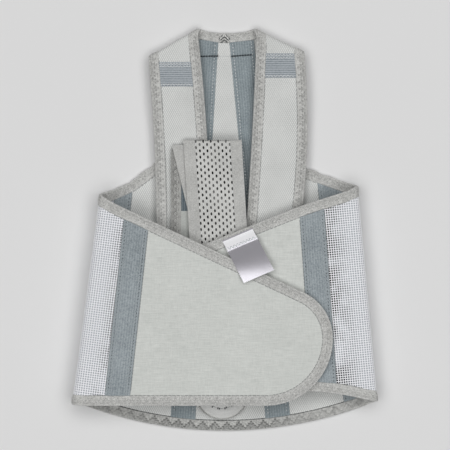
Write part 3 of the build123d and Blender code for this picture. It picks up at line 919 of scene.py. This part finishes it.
def slab(name, points, low, high, materials, step=4.0, soft=0.5, top=None, lift=None):
    """A closed sheet over an outline: two faces with rounded edges between them.

    top takes points and their distance from the edge and gives a height to add to the upper face.
    """
    ring = densify(points, step)
    n = len(ring)
    tight = inset(ring, soft)
    box_low, box_high = ring.min(0), ring.max(0)
    xs = np.arange(box_low[0], box_high[0], step)
    ys = np.arange(box_low[1], box_high[1], step * 0.866)
    grid = np.array([(x + (k % 2) * step / 2, y) for k, y in enumerate(ys) for x in xs])
    grid = grid[(closest(tight, grid)[1] > step * 0.55) & inside(grid, tight)]
    given = [Vector(p) for p in np.vstack([tight, grid])]
    flat, _, triangles, origin, _, _ = delaunay_2d_cdt(given, [(i, (i + 1) % n) for i in range(n)], [], 1, 1e-5)
    where = {given_index: out_index for out_index, group in enumerate(origin) for given_index in group}
    flat = np.array([(p.x, p.y) for p in flat])
    away = closest(tight, flat)[1]
    m = len(flat)
    above = np.column_stack([flat, np.full(m, high) + (0 if top is None else top(flat, away))])
    below = np.column_stack([flat, np.full(m, low)])
    round_up = np.column_stack([ring, np.full(n, high - soft)])
    round_low = np.column_stack([ring, np.full(n, low + soft)])
    points3 = np.vstack([above, below, round_up, round_low])
    if lift is not None:
        points3[:, 2] += lift(points3)
    rim = [where[i] for i in range(n)]
    faces = [list(t) for t in triangles] + [[m + i for i in t[::-1]] for t in triangles]
    a, b = 2 * m, 2 * m + n
    for i in range(n):
        j = (i + 1) % n
        faces += [[rim[j], rim[i], a + i, a + j], [a + j, a + i, b + i, b + j],
                  [b + j, b + i, m + rim[i], m + rim[j]]]
    return piece(name, points3, faces, materials)


def inside(points, loop):
    """Which points lie inside a closed outline."""
    points, loop = np.asarray(points, float), np.asarray(loop, float)
    x, y = points[:, 0][:, None], points[:, 1][:, None]
    x0, y0 = loop[:, 0][None], loop[:, 1][None]
    x1, y1 = np.roll(loop[:, 0], -1)[None], np.roll(loop[:, 1], -1)[None]
    span = (y0 > y) != (y1 > y)
    with np.errstate(divide="ignore", invalid="ignore"):
        cross = x < (x1 - x0) * (y - y0) / (y1 - y0) + x0
    return (span & cross).sum(1) % 2 == 1


def swelling(flat, away):
    """A panel's face swells a little away from its bound edge."""
    return 0.25 * smooth(away, 6.0, 16.0)


for node, body, material, slot, lift in (
        ("back_panel", "back", TWILL, "back_cloth", None),
        ("outer_flap_panel", "outer_flap", FLAP, "flap_cloth", outer_lift),
        ("inner_flap_panel", "inner_flap", FLAP, "flap_cloth", None)):
    points, _, low, high = outline(node)
    panel = slab(node + "_cloth", points, low, high, [material], top=swelling, lift=lift)
    attach(panel, body, slot, node)
    abs(signed_area(points)) * MM * MM

# ---- straps
for side in ("left", "right"):
    node, body = side + "_strap_panel", side + "_strap"
    run, half = flat_run(node, STEP, strap_lift, even=True, reach=STRAP_REACH)
    swell = crowned(run.width, 25, half, lambda s: 0.5 * smooth(min(s, run.width - s), 8.5, 18))
    panel = lay(node + "_cloth", run, swell, TWILL, body, "strap_cloth", node, side + "_strap_tuck")
    if side == "left":                              # it sags beside the ply that comes back up over it
        for vertex in panel.data.vertices:
            x, y = vertex.co.x / MM, vertex.co.y / MM
            vertex.co.z -= RETURN_SAG * MM * exp(-((x - RETURN_EDGE) / 4.5) ** 2) * smooth(86.0 - y, 0, 14)


# ---- webbing
def channel_profile(width, high, stay_half=7.2):
    """Section of a stay channel: thin sewn margins and a raised middle over the stay."""
    half, mid = width / 2, high / 2
    rise = [(0.0, -mid + 0.25), (0.25, -mid + 0.62), (1.2, -mid + 0.8), (half - stay_half - 1.6, -mid + 0.82),
            (half - stay_half - 0.4, mid - 0.5), (half - stay_half + 0.9, mid - 0.06), (half - 2.5, mid)]
    upper = rise + [(width - s, t) for s, t in rise[::-1]]
    return upper[::-1] + [(0.0, -mid), (width, -mid)]


def run_on(run, by):
    """Carries a spine tape's upper end on up under the neck binding."""
    step = run.edge[0] - run.edge[1]
    step /= np.linalg.norm(step)
    near, far = (p + step * by * max(0.0, 1 - abs(p[0]) / 24.0) for p in (run.edge[0], run.edge[0] + run.across[0]))
    run.edge[0], run.across[0] = near, far - near
    run.u = lengths(run.edge)


for node, body, lift in (
        ("left_spine_tape", "back", None), ("right_spine_tape", "back", None),
        ("left_side_tape", "back", None), ("right_side_tape", "back", None),
        ("left_front_tape", "outer_flap", outer_lift), ("right_front_tape", "inner_flap", None)):
    run, half = flat_run(node, 4.0, lift, even=True)
    spine = "spine" in node
    if spine:
        run_on(run, 2.6)
    profile, width = channel_profile(run.width, 2 * half), run.width
    lay(node + "_web", run, profile, SHADED_SPINE_WEBBING if spine else WEBBING, body, "webbing", node, held="laid",
        angle=60)
    height = height_over(profile[:-2])
    if spine:
        sew(node + "_seam", [straight_seam(run, height, s, 3.2, 0.36) for s in (3.1, width - 3.1)],
            PALE_THREAD, 0.42, body, "webbing")
        continue
    sew(node + "_seam", [zigzag(run, height, s, s + 1.6, 3.2, 1, 1.0, both=False, gap=0.4)
                         for d in (0.9, 3.4) for s in (d, width - d - 1.6)], SLATE_THREAD, 0.32, body, "webbing")
    # Dark dots: painted shade in needle holes.
    sew(node + "_stitch_hole_shade", [straight_seam(run, height, s, 3.6, 0.26) for s in (2.5, width - 2.5)],
        NEEDLE_HOLE_SHADE, 0.46, body, "webbing")
    sew(node + "_edge_seam", [straight_seam(run, level_at(0.15 - half), s, 3.4, 0.8) for s in (-0.25, width + 0.25)],
        EDGE_THREAD_AND_SHADE, 0.24, body, "webbing")

for node, body, lift, finish in (("left_strap_patch", "left_strap", strap_lift, PATCH),
                                 ("right_strap_patch", "right_strap", strap_lift, PATCH),
                                 ("left_return_patch", "left_strap", None, SHADED_RETURN_PATCH)):
    run, half = flat_run(node, 2.5, lift, even=True)
    width = run.width
    profile = [(0.0, -half), (0.0, half - 0.3), (0.3, half), (width - 0.3, half), (width, half - 0.3), (width, -half)]
    lay(node + "_web", run, profile[::-1], finish, body, "webbing", node, held="laid", angle=40)
    if finish == PATCH:
        sew(node + "_seam", [zigzag(run, level_at(half), s, s + 1.9, 3.2, 1, 1.0, both=False)
                             for s in (0.9, 3.5, width - 2.8)], PALE_THREAD, 0.3, body, "webbing")


# ---- spacer mesh
PITCH = 2.32                # from hole to hole
HOLE, PIT = 0.8, 0.4        # half a hole's width, and its depth
SPACER = 1.2                # half the mesh's thickness
CARRY = 0.3                 # the fold's net begins this share of the way in under its bindings
CUT_SEAM = 2.0              # a net's cut runs this far on into its seams


def lattice(name, cells, place, pitch_v=PITCH, fade=1.0):
    """A sheet of square cells with a pit through each face, over a list of whole cells (i, j).

    Its UV map holds the distance from the side fold, times fade.
    """
    cells = np.asarray(cells, int)
    n = len(cells)
    step = np.array([(0, 0), (1, 0), (1, 1), (0, 1)])
    knots, ids = np.unique((cells[:, None, :] + step).reshape(-1, 2), axis=0, return_inverse=True)
    ids = ids.reshape(n, 4)
    scale = np.array([PITCH, pitch_v])
    knots = knots * scale
    holes = (((cells + 0.5) * scale)[:, None, :] + (step * 2 - 1) * HOLE).reshape(-1, 2)
    verts, spread, faces, choice, outer = [], [], [], [], []

    def put(uv, t):
        start = sum(len(v) for v in verts)
        verts.append(place(uv[:, 0], uv[:, 1], np.full(len(uv), t)))
        spread.append(uv[:, ::-1])
        return start

    def add(quads, material=0):
        faces.append(np.column_stack(quads))
        choice.append(np.full(len(faces[-1]), material))

    for side in (1, -1):
        outer.append(put(knots, side * SPACER))
        own = outer[-1] + ids
        hole, pit = (put(holes, side * (SPACER - depth)) + np.arange(4 * n).reshape(n, 4) for depth in (0.08, PIT))
        for a in range(4):
            b = (a + 1) % 4
            add((own[:, a], own[:, b], hole[:, b], hole[:, a]))
            add((hole[:, a], hole[:, b], pit[:, b], pit[:, a]))
        # Each pit's floor takes the painted shade of its hole.
        add(pit.T, 1)
    edges = np.concatenate([ids[:, [a, (a + 1) % 4]] for a in range(4)])
    _, back, count = np.unique(np.sort(edges, axis=1), axis=0, return_inverse=True, return_counts=True)
    rim = edges[count[back.ravel()] == 1]
    top, below = outer
    add((top + rim[:, 0], top + rim[:, 1], below + rim[:, 1], below + rim[:, 0]))
    return piece(name, np.vstack(verts), np.concatenate(faces).tolist(), [MESH, MESH_PIT_SHADE],
                 uv=np.vstack(spread) * fade, choice=np.concatenate(choice), angle=35)


for side, flap, *_ in SIDES:
    axis, out = fold_axis[side], fold_out[side]
    origin = np.array([*axis[0][:2], 0.0])
    along = (axis[1] - axis[0]) * (1, 1, 0)
    along /= np.linalg.norm(along)
    halves = {}
    for half_name, body, face in (("front", flap, 1), ("back", "back", -1)):
        node = f"{side}_mesh_{half_name}"
        lift = outer_lift if (side, half_name) == ("left", "front") else None
        points, _, low, high = outline(node)
        middle = halves[half_name] = (low + high) / 2
        rel = points - origin[:2]
        loop = np.column_stack([rel @ along[:2], -(rel @ out[:2])])
        loop[loop[:, 1] < 2.0, 1] = -PITCH                # the fold's own net carries on from here
        i0, j0 = np.floor(loop.min(0) / PITCH).astype(int) - 1
        i1, j1 = np.ceil(loop.max(0) / PITCH).astype(int) + 1
        grid = np.array([(i, j) for i in range(i0, i1) for j in range(max(j0, 0), j1)])
        cells = grid[np.all([inside((grid + (a, b)) * PITCH, loop) for a in (0, 1) for b in (0, 1)], axis=0)]

        def place(u, v, t):
            p = origin + u[:, None] * along - v[:, None] * out
            p[:, 2] = middle + face * t
            if lift is not None:
                p[:, 2] += lift(p)
            return p

        sheet = lattice(node + "_net", cells, place)
        attach(sheet, body, "side_mesh", node)
        (abs(signed_area(points)) + CUT_SEAM * lengths(np.vstack([points, points[:1]]))[-1]) * MM * MM
    radius = (halves["front"] - halves["back"]) / 2
    around = round(FOLD_ROUND * radius / PITCH)

    def place(u, v, t):
        outward, up = pressed_fold(v / (FOLD_ROUND * radius))       # 0 at the back, 1 at the front
        p = origin + u[:, None] * along + out * ((radius + t) * outward)[:, None]
        p[:, 2] = halves["back"] + radius + (radius + t) * up
        return p

    hem_ends, top_ends = ([inland(end, CARRY)[:2] for end in corner[side][level]] for level in ("hem", "top"))
    cells = []
    for j in range(around):
        share = shift_of((j + 0.5) / around * pi)
        start, stop = ((low * (1 - share) + high * share - origin[:2]) @ along[:2]
                       for low, high in (hem_ends, top_ends))
        cells += [(i, j) for i in range(int(np.ceil(start / PITCH)), int(stop // PITCH))]
    node = side + "_mesh_fold"
    sheet = lattice(node + "_net", cells, place, FOLD_ROUND * radius / around, fade=0.0)
    attach(sheet, None, "side_mesh", node, blend=("back", flap) + across_layers(halves["back"], halves["front"]))
    float(lengths(axis)[-1]) * MM


# ---- perforated strap end
COLUMNS, COLUMN_PITCH, ROW_PITCH = 10, 3.75, 6.35
HOLE_WIDE, HOLE_LONG = 0.98, 1.55           # half the size of an oval hole
PLY = 0.7                                   # half the thickness of a ply
PLUG = 0.1                                  # the share of it at which a hole's floor lies; floors and walls are painted shade
MARGIN_ROW = 1.2                            # no hole's middle comes closer to an end than this


def perforated(name, long, place):
    """Elastic punched with staggered oval holes: u runs across from 0, v along from 0."""
    count = max(1, round(long / ROW_PITCH))
    # A cell is four quarter rows tall and two half columns wide; odd columns sit half a row lower.
    unit = np.array([COLUMN_PITCH / 2, long / count / 4])
    cells = [(2 * c + 1, 4 * r + 2 + 2 * (c % 2)) for c in range(COLUMNS) for r in range(-1, count + 1)]
    ring = np.array([(-1, -2), (0, -2), (1, -2), (1, -1), (1, 0), (1, 1), (1, 2), (0, 2), (-1, 2),
                     (-1, 1), (-1, 0), (-1, -1)])
    angles = np.radians([-125, -90, -55, -28, 0, 28, 55, 90, 125, 152, 180, 208])
    hole = np.column_stack([np.cos(angles), np.sin(angles)]) * (HOLE_WIDE, HOLE_LONG)
    points, faces, walls, known, edges = [], [], [], {}, {}

    def vertex(at, level):
        key = (round(at[0], 3), round(at[1], 3), level)
        if key not in known:
            known[key] = len(points)
            points.append((at[0], at[1], level * PLY))
        return known[key]

    for cell in cells:
        square = np.clip(ring + cell, (0, 0), (2 * COLUMNS, 4 * count)) * unit
        centre = np.array(cell) * unit
        if centre[1] < MARGIN_ROW or centre[1] > long - MARGIN_ROW:     # plain cloth at both ends
            if np.ptp(square[:, 1]) < 0.1:
                continue
            loop = list(dict.fromkeys(map(tuple, square)))
            faces += [[vertex(p, level) for p in loop[::level]] for level in (1, -1)]
        else:
            loop, cut = [tuple(p) for p in square], centre + hole
            for k in range(12):
                m = (k + 1) % 12
                faces += [[vertex(p, level) for p in (loop[k], loop[m], cut[m], cut[k])][::level]
                          for level in (1, -1)]
                walls += [[vertex(cut[k], level), vertex(cut[m], level), vertex(cut[m], level * PLUG),
                           vertex(cut[k], level * PLUG)][::level] for level in (1, -1)]
            walls += [[vertex(p, level * PLUG) for p in cut[::level]] for level in (1, -1)]
        for p, q in zip(loop, loop[1:] + loop[:1]):
            edges.setdefault(frozenset((tuple(np.round(p, 3)), tuple(np.round(q, 3)))), []).append((p, q))
    faces += [[vertex(p, 1), vertex(p, -1), vertex(q, -1), vertex(q, 1)]
              for (p, q), *others in edges.values() if not others]
    return piece(name, place(*np.array(points).T), faces + walls, [ELASTIC, SHADE],
                 choice=[0] * len(faces) + [1] * len(walls), angle=40)


BAND, END_WIDTH = COLUMNS * COLUMN_PITCH, 58.0       # across the holes, and across the whole strap end


def corners_of(points):
    """The four corners of a ply: top left, top right, low left, low right."""
    four = points[four_corners(points)]
    four = four[np.argsort(-four[:, 1])]
    return (*four[:2][np.argsort(four[:2, 0])], *four[2:][np.argsort(four[2:, 0])])


front_points, _, front_low, front_high = outline("left_end_front_ply")
back_points, _, back_low, back_high = outline("left_end_back_ply")
front_level, back_level = (front_low + front_high) / 2, (back_low + back_high) / 2
fold_radius = (front_level - back_level) / 2
top_left, top_right, low_left, low_right = corners_of(front_points)
askew = corners_of(back_points)
back_long = np.linalg.norm((askew[0] + askew[1] - askew[2] - askew[3]) / 2)
margin = (END_WIDTH - BAND) / 2 / END_WIDTH
bend_long = pi * fold_radius
END_LOW = box_of("left_end_tuck")[0][1] + fold_radius       # where the tucked end turns up again
front_run, back_run = top_left[1] - END_LOW, back_long + low_left[1] - END_LOW


def share_of(u):
    """Where u across the band lies across the whole strap end, as a share of it."""
    return margin + (1 - 2 * margin) * u / BAND


def between(a, b, share):
    return a * (1 - share) + b * share


def side_at(p, q, y):
    return p[0] + (q[0] - p[0]) * (y - p[1]) / (q[1] - p[1])


def straight_place(u, y, z):
    """The straight part of the strap end, at a given y."""
    x = between(side_at(top_left, low_left, y), side_at(top_right, low_right, y), share_of(u))
    return np.column_stack([x, y, z])


def askew_place(u, v, t):
    """The ply behind where it shows beside the front one."""
    share, down = share_of(u)[:, None], (v / back_long)[:, None]
    return np.column_stack([between(between(askew[0], askew[1], share), between(askew[2], askew[3], share), down),
                            back_level + t])


def bend_place(u, v, t):
    """Round the fold at the top of the strap end, from the front ply over to the back."""
    base, turn = between(top_left, top_right, share_of(u)[:, None]), v / fold_radius
    return np.column_stack([base[:, 0], base[:, 1] + (fold_radius + t) * np.sin(turn),
                            back_level + fold_radius + (fold_radius + t) * np.cos(turn)])


def over_place(u, v, t):
    """The face of the strap end: v runs from the far side of its fold, down the front and round below."""
    out = np.empty((len(u), 3))
    bent, turned = v < bend_long, v > bend_long + front_run
    flat = ~bent & ~turned
    out[bent] = bend_place(u[bent], bend_long - v[bent], t[bent])
    out[flat] = straight_place(u[flat], top_left[1] - (v[flat] - bend_long), front_level + t[flat])
    turn, radius = (v[turned] - bend_long - front_run) / fold_radius, fold_radius + t[turned]
    out[turned] = straight_place(u[turned], END_LOW - radius * np.sin(turn),
                                 back_level + fold_radius + radius * np.cos(turn))
    return out


def under_place(u, v, t):
    """The ply behind: v runs from its top, askew at first, down to where the band turns."""
    out = np.empty((len(u), 3))
    shown = v < back_long
    out[shown] = askew_place(u[shown], v[shown], t[shown])
    out[~shown] = straight_place(u[~shown], low_left[1] - (v[~shown] - back_long), back_level + t[~shown])
    return out


# The hinge where the band comes out from under the flap, as its two bodies and two points.
END_BEND = ("left_strap", "left_strap_end", (0, 0.008, 0), (0, 0.026, 0))
over_long = bend_long + front_run + bend_long
front_ply = perforated("left_end_front_ply_elastic", over_long, over_place)
attach(front_ply, None, "elastic", "left_end_front_ply", "left_end_fold", "left_end_tuck", blend=END_BEND)
back_ply = perforated("left_end_back_ply_elastic", back_run, under_place)
attach(back_ply, None, "elastic", "left_end_back_ply", blend=END_BEND)


def plain_sheet(name, place, us, vs, t_range, materials):
    """A closed sheet over a grid of u and v, between two heights."""
    n_u, n_v = len(us), len(vs)
    u, v = (a.ravel() for a in np.meshgrid(us, vs, indexing="ij"))
    top, low = place(u, v, np.full(len(u), t_range[1])), place(u, v, np.full(len(u), t_range[0]))
    count = n_u * n_v
    index = np.arange(count).reshape(n_u, n_v)
    quads = np.stack([index[:-1, :-1], index[1:, :-1], index[1:, 1:], index[:-1, 1:]], -1).reshape(-1, 4)
    border = np.concatenate([index[:-1, 0], index[-1, :-1], index[:0:-1, -1], index[0, :0:-1]])
    nxt = np.roll(border, -1)
    walls = np.column_stack([border, nxt, nxt + count, border + count])
    faces = np.concatenate([quads, quads[:, ::-1] + count, walls]).tolist()
    uv = np.tile(np.column_stack([u, v]), (2, 1))
    return piece(name, np.vstack([top, low]), faces, materials, uv=uv)


margin_mm = margin * END_WIDTH
EDGE_LAP = 1.2              # how far a margin laps over the band
for part, long, place in (("front", over_long, over_place), ("back", back_run, under_place)):
    node = f"left_end_{part}_ply"
    count = round(long / ROW_PITCH)
    bars = np.array([((2 * c + 1) * COLUMN_PITCH / 2, (r + 0.5 * (c % 2)) * long / count)
                     for c in range(COLUMNS) for r in range(1, count)])
    u, v, level = bars[:, 0], bars[:, 1], np.full(len(bars), PLY)
    sew(node + "_yarns", [(place(u, v - 1.2, level), place(u, v + 1.2, level),
                           place(u, v, level + 1) - place(u, v, level))],
        PALE_THREAD, 0.42, None, "elastic", sink=0.1, blend=END_BEND)

for part, place, stops in (("front", over_place, ((bend_long, 10), (bend_long + front_run, 44), (over_long, 10))),
                           ("back", under_place, ((back_long, 30), (back_run, 18)))):
    stations, begin = [], 0
    for end, count in stops:
        stations = [*stations[:-1], *np.linspace(begin, end, count)]
        begin = end
    for edge, low_u, high_u in (("left", -margin_mm, EDGE_LAP), ("right", BAND - EDGE_LAP, BAND + margin_mm)):
        tape = plain_sheet(f"left_end_{part}_{edge}_edge", place, np.linspace(low_u, high_u, 6), np.array(stations),
                           (-PLY - 0.2, PLY + 0.2), [MARGIN])
        attach(tape, None, "elastic", f"left_end_{part}_ply", blend=END_BEND)


# ---- the left strap's turn inside the front
TURN_INSET, TURN_LAP = 2.8, 12.0        # from the tuck's end to the turn, and how far it laps both plies
strap_level = np.mean([c[2] for c in box_of("left_strap_panel")])
ply_low, ply_high = box_of("left_return_ply")
ply_level = (ply_low[2] + ply_high[2]) / 2
turn_y = box_of("left_strap_tuck")[0][1] + TURN_INSET
half = (ply_level - strap_level) / 2
path = np.array(
    [(y, strap_level) for y in np.linspace(turn_y + TURN_LAP, turn_y, 5, endpoint=False)]
    + [(turn_y - half * sin(a), strap_level + half - half * cos(a)) for a in np.linspace(0, pi, 9)]
    + [(y, ply_level) for y in np.linspace(turn_y, turn_y + TURN_LAP, 6)[1:]])
step = np.gradient(path, axis=0)
step /= np.linalg.norm(step, axis=1, keepdims=True)
normal, long = np.column_stack([-step[:, 1], step[:, 0]]), lengths(path)


def turn_place(u, v, t):
    """u is the share of the way across, v runs along the path of (y, z)."""
    y, z = (sample(path, v, long) + sample(normal, v, long) * t[:, None]).T
    return np.column_stack([between(ply_low[0], ply_high[0], u), y, z])


turned = plain_sheet("left_strap_turn_cloth", turn_place, np.linspace(0, 1, 9), long, (-0.9, 0.9), [TWILL])
attach(turned, "left_strap", "strap_cloth", "left_strap_tuck")

# ---- the thin ply that comes back up
run, half = flat_run("left_return_ply", 3.0, None, even=True, reach=RETURN_REACH)
lay("left_return_ply_cloth", run, crowned(run.width, 9, half, lambda s: 0.2 * sin(pi * s / run.width)), SHADED_RETURN_CLOTH,
    "left_strap", "strap_cloth", "left_return_ply")

# ---- lumbar pad
RING, RING_DEPTH, RING_HALF = 10.2, 0.9, 0.9    # the sewn ring: how far in, how deep and how wide
PAD_SPREAD, PAD_EDGE = 4.6, 5.3                 # how far the pad's skirt runs out, and down
STITCH = 7.2                                    # the ring's stitch pitch
points, _, low, high = outline("lumbar_pad")
pad_outline = inset(densify(points, 2.5), -PAD_SPREAD)


def pad_top(flat, away):
    """A crowned pad whose middle is quilted inside a sewn ring."""
    crown = -PAD_EDGE * (1 - smooth(away, -2.5, 7.0)) + 0.5 * smooth(away, RING, RING + 14)
    return crown - RING_DEPTH * np.exp(-((away - RING) / RING_HALF) ** 2)


pad = slab("lumbar_pad_cushion", pad_outline, low, high, [PAD], step=1.7, soft=0.8, top=pad_top)
attach(pad, "back", "pad", "lumbar_pad")
ring = inset(densify(pad_outline, 0.6), RING + 0.8)
ring = np.column_stack([np.vstack([ring, ring[:1]]), np.full(len(ring) + 1, high - RING_DEPTH + 0.15)])
ring_run = Run(ring, np.tile((1.0, 0, 0), (len(ring), 1)), np.tile(UP, (len(ring), 1)))
# The ring's needle holes are dark discs: painted shade in the holes.
for name, places, share, thread, radius, sink in (
        ("seam", ((0.0, 3.6),), 0.7, EDGE_THREAD_AND_SHADE, 0.3, 0.08),
        ("ring_hole_shade", ((0.0, 2.4), (-2.0, 6.0)), 0.12, DARK_THREAD_AND_SHADE, 1.15, 0.5)):
    seams = [straight_seam(ring_run, level_at(0.0), s, STITCH, share, start) for s, start in places]
    sew("lumbar_pad_" + name, seams, thread, radius, "back", "pad", sink=sink)

# ---- neck tack
tack_low, tack_high = box_of("neck_tack")
tack_x, tack_y, tack_z = (tack_low[0] + tack_high[0]) / 2 - 1.9, tack_high[1] + 0.4, tack_high[2] - 0.12
# Each strand slants down to both sides, from (down, aside) to (down, aside), in two stitches.
# The dark strands are painted shadow between the pale thread's strands.
for name, thread, radius, strands in (
        ("painted_shadow", DARK_THREAD_AND_SHADE, 0.36, ((-0.4, 1.5, 4.6, 5.6), (1.9, 0.0, 5.4, 3.9), (5.2, 0.0, 7.6, 3.0))),
        ("thread", BOUND_THREAD, 0.55, ((-0.8, 0.0, 3.8, 4.4), (0.5, 0.0, 4.8, 4.6), (3.3, 0.0, 7.2, 4.9)))):
    a, b = ([(tack_x + way * between(x0, x1, stops[k]), tack_y - between(y0, y1, stops[k]), tack_z)
             for y0, x0, y1, x1 in strands for way in (-1, 1) for stops in ((0.0, 0.48), (0.52, 1.0))]
            for k in (0, 1))
    sew("neck_tack_" + name, flat_stitches(a, b), thread, radius, "back", "binding", "neck_tack", sink=0.0)

# ---- cross seam over the spine tapes
SEAM_Y, CROSS_PITCH, CROSS_GAP = 174.0, 2.6, 0.3    # where the seam lies, its pitch and the gap in each pitch
tape_top, cloth_top = (box_of(node)[1][2] for node in ("left_spine_tape", "back_panel"))
for name, spans, radius, thread in (
        ("spine_tape", ((-27.0, -8.0, 0.02, tape_top), (6.5, 27.0, 0.08, tape_top)), 0.75, DARK_THREAD_AND_SHADE),
        ("back", ((-6.8, 6.0, 0.03, cloth_top + 0.45),), 0.3, PALE_THREAD)):
    a, b = ([(x + k * (CROSS_PITCH - CROSS_GAP), SEAM_Y + tilt * (x - x0 + k * CROSS_PITCH), level)
             for x0, x1, tilt, level in spans for x in np.arange(x0, x1, CROSS_PITCH)] for k in (0, 1))
    sew(name + "_cross_seam", flat_stitches(a, b), thread, radius, "back", "webbing", sink=0.05)

# ---- hook patch
BASE, HOOK_PITCH = 1.0, 2.2                 # the base's thickness, and from hook to hook
HOOK_MARGIN = 1.2                           # no hook stands closer to the base's edge
points, _, low, high = outline("hook_patch")
base = slab("hook_patch_base", points, high - BASE, high, [HOOK], step=5.0, soft=0.3, lift=outer_lift)
attach(base, "outer_flap", "hook", "hook_patch")
grid = np.array([(x, y) for x in np.arange(points[:, 0].min() + 1.5, points[:, 0].max() - 1, HOOK_PITCH)
                 for y in np.arange(points[:, 1].min() + 1.5, points[:, 1].max() - 1, HOOK_PITCH)])
grid = grid[inside(grid, inset(densify(points, 2.0), HOOK_MARGIN))]
# A hook's stem goes down from the base and its tip turns up again: (aside, height, radius).
stem = ((0, high - BASE, 0.28), (0, low + 0.8, 0.22), (0.1, low + 0.25, 0.2), (0.5, low + 0.1, 0.18),
        (0.85, low + 0.45, 0.08))
hooks, hook_faces = [], []
for x, y in grid:
    first = len(hooks)
    hooks += [(x + aside + r * cos(spin), y + r * sin(spin), z)
              for aside, z, r in stem for spin in pi / 4 + np.arange(4) * pi / 2]
    hook_faces += [[first + k + j, first + k + (j + 1) % 4, first + k + 4 + (j + 1) % 4, first + k + 4 + j]
                   for k in range(0, 16, 4) for j in range(4)]
    hook_faces += [[first + 3, first + 2, first + 1, first], [first + 16 + j for j in range(4)]]
hooks = np.array(hooks)
hooks[:, 2] += outer_lift(hooks)
attach(piece("hook_patch_hooks", hooks, hook_faces, [HOOK], angle=70), "outer_flap", "hook")

# ---- label
LABEL_WIDE, LABEL_LONG, LABEL_HEM = 32.8, 47.2, 11.0
LABEL_HALF, HEM_OVER = 0.12, 0.3            # half the satin's thickness, and how far its hem stands over it
CURL, CURL_FROM = 3.6, 19.0                 # how far the free end curls up, and from where
ASKEW = 0.075                               # it is sewn on a little askew
HEM_STITCH, HEM_TOOTH = 1.7, 2.4            # the pitch and the width of its hem's zigzag
label_low, label_high = box_of("label")
sewn_edge = np.array([(-2.7, -10.9), (27.3, 1.9)])
way = (sewn_edge[1] - sewn_edge[0]) / LABEL_WIDE
down = np.array((way[1], -way[0])) + way * ASKEW
level = label_low[2] + 0.3
rise = label_high[2] - 0.15 - level


def label_place(u, v, t):
    """u across the label, v from its sewn edge to its free end."""
    p = sewn_edge[0] + u[:, None] * way + v[:, None] * down
    over = smooth(v, 0.5, LABEL_HEM + 2.0)             # it bridges the step up on to the outer flap
    curl = np.clip((v - CURL_FROM) / (LABEL_LONG - CURL_FROM), 0, 1) ** 2 * (1.15 - 0.4 * u / LABEL_WIDE)
    return np.column_stack([p, level + rise * over + CURL * curl + t + outer_lift(p) * over])


label = plain_sheet("label_satin", label_place, np.linspace(0, LABEL_WIDE, 18), np.linspace(0, LABEL_LONG, 30),
                    (-LABEL_HALF, LABEL_HALF), [SATIN])
attach(label, "label", "satin", "label")
u = np.arange(2.0, LABEL_WIDE - 3.0, HEM_STITCH)
v = LABEL_HEM - 2.6 + np.arange(len(u) + 1) % 2 * HEM_TOOTH
sew("label_hem_seam", flat_stitches(label_place(u, v[:-1], 0.5), label_place(u + 1.5, v[1:], 0.5)), SLATE_THREAD,
    0.26, "label", "satin", sink=0.05)
# The hem takes a painted highlight in place of the satin's reflection.
hem = plain_sheet("label_hem", label_place, np.linspace(0.15, LABEL_WIDE - 0.15, 18), np.linspace(1.3, LABEL_HEM, 9),
                  (LABEL_HALF, LABEL_HALF + HEM_OVER), [HEM_SATIN_HIGHLIGHT])
attach(hem, "label", "satin")

# ---- studio
bpy.ops.object.select_all(action="DESELECT")
bpy.ops.mesh.primitive_plane_add(size=6.0, location=(0, 0, 0))
floor = bpy.context.object
floor.name = "studio_floor"
floor.data.materials.append(cloth("floor_paper", paper, 0.95, sheen=0.0, Specular_IOR_Level=0.1))

FILL, RING_LIGHT = 0.05, 2.45       # light weakly from all round, and from a wide ring overhead
RING_BEGINS, RING_ENDS = (0.68, 0.78), (0.905, 0.965)       # heights on the sky
SEEN = 0.8                          # what the camera itself sees of the sky
world = bpy.data.worlds.new("studio")
world.use_nodes = True
scene.world = world
sky = Tree(world.node_tree)
height = sky.parts(sky.add("TexCoord").outputs["Generated"])["Z"]


def step_of(span, before, after):
    return sky.add("MapRange", {0: height, 1: span[0], 2: span[1], 3: before, 4: after},
                   interpolation_type="SMOOTHSTEP").outputs[0]


glow = sky.math("MULTIPLY_ADD", step_of(RING_BEGINS, 0.0, RING_LIGHT), step_of(RING_ENDS, 1.0, 0.0), FILL)
seen = sky.add("LightPath").outputs["Is Camera Ray"]
glow = sky.total((sky.math("MULTIPLY", glow, sky.math("SUBTRACT", 1.0, seen)), 1.0), (seen, SEEN))
background = world.node_tree.nodes["Background"].inputs
background[0].default_value = (1.0, 1.0, 1.0, 1.0)
sky.tree.links.new(glow, background[1])
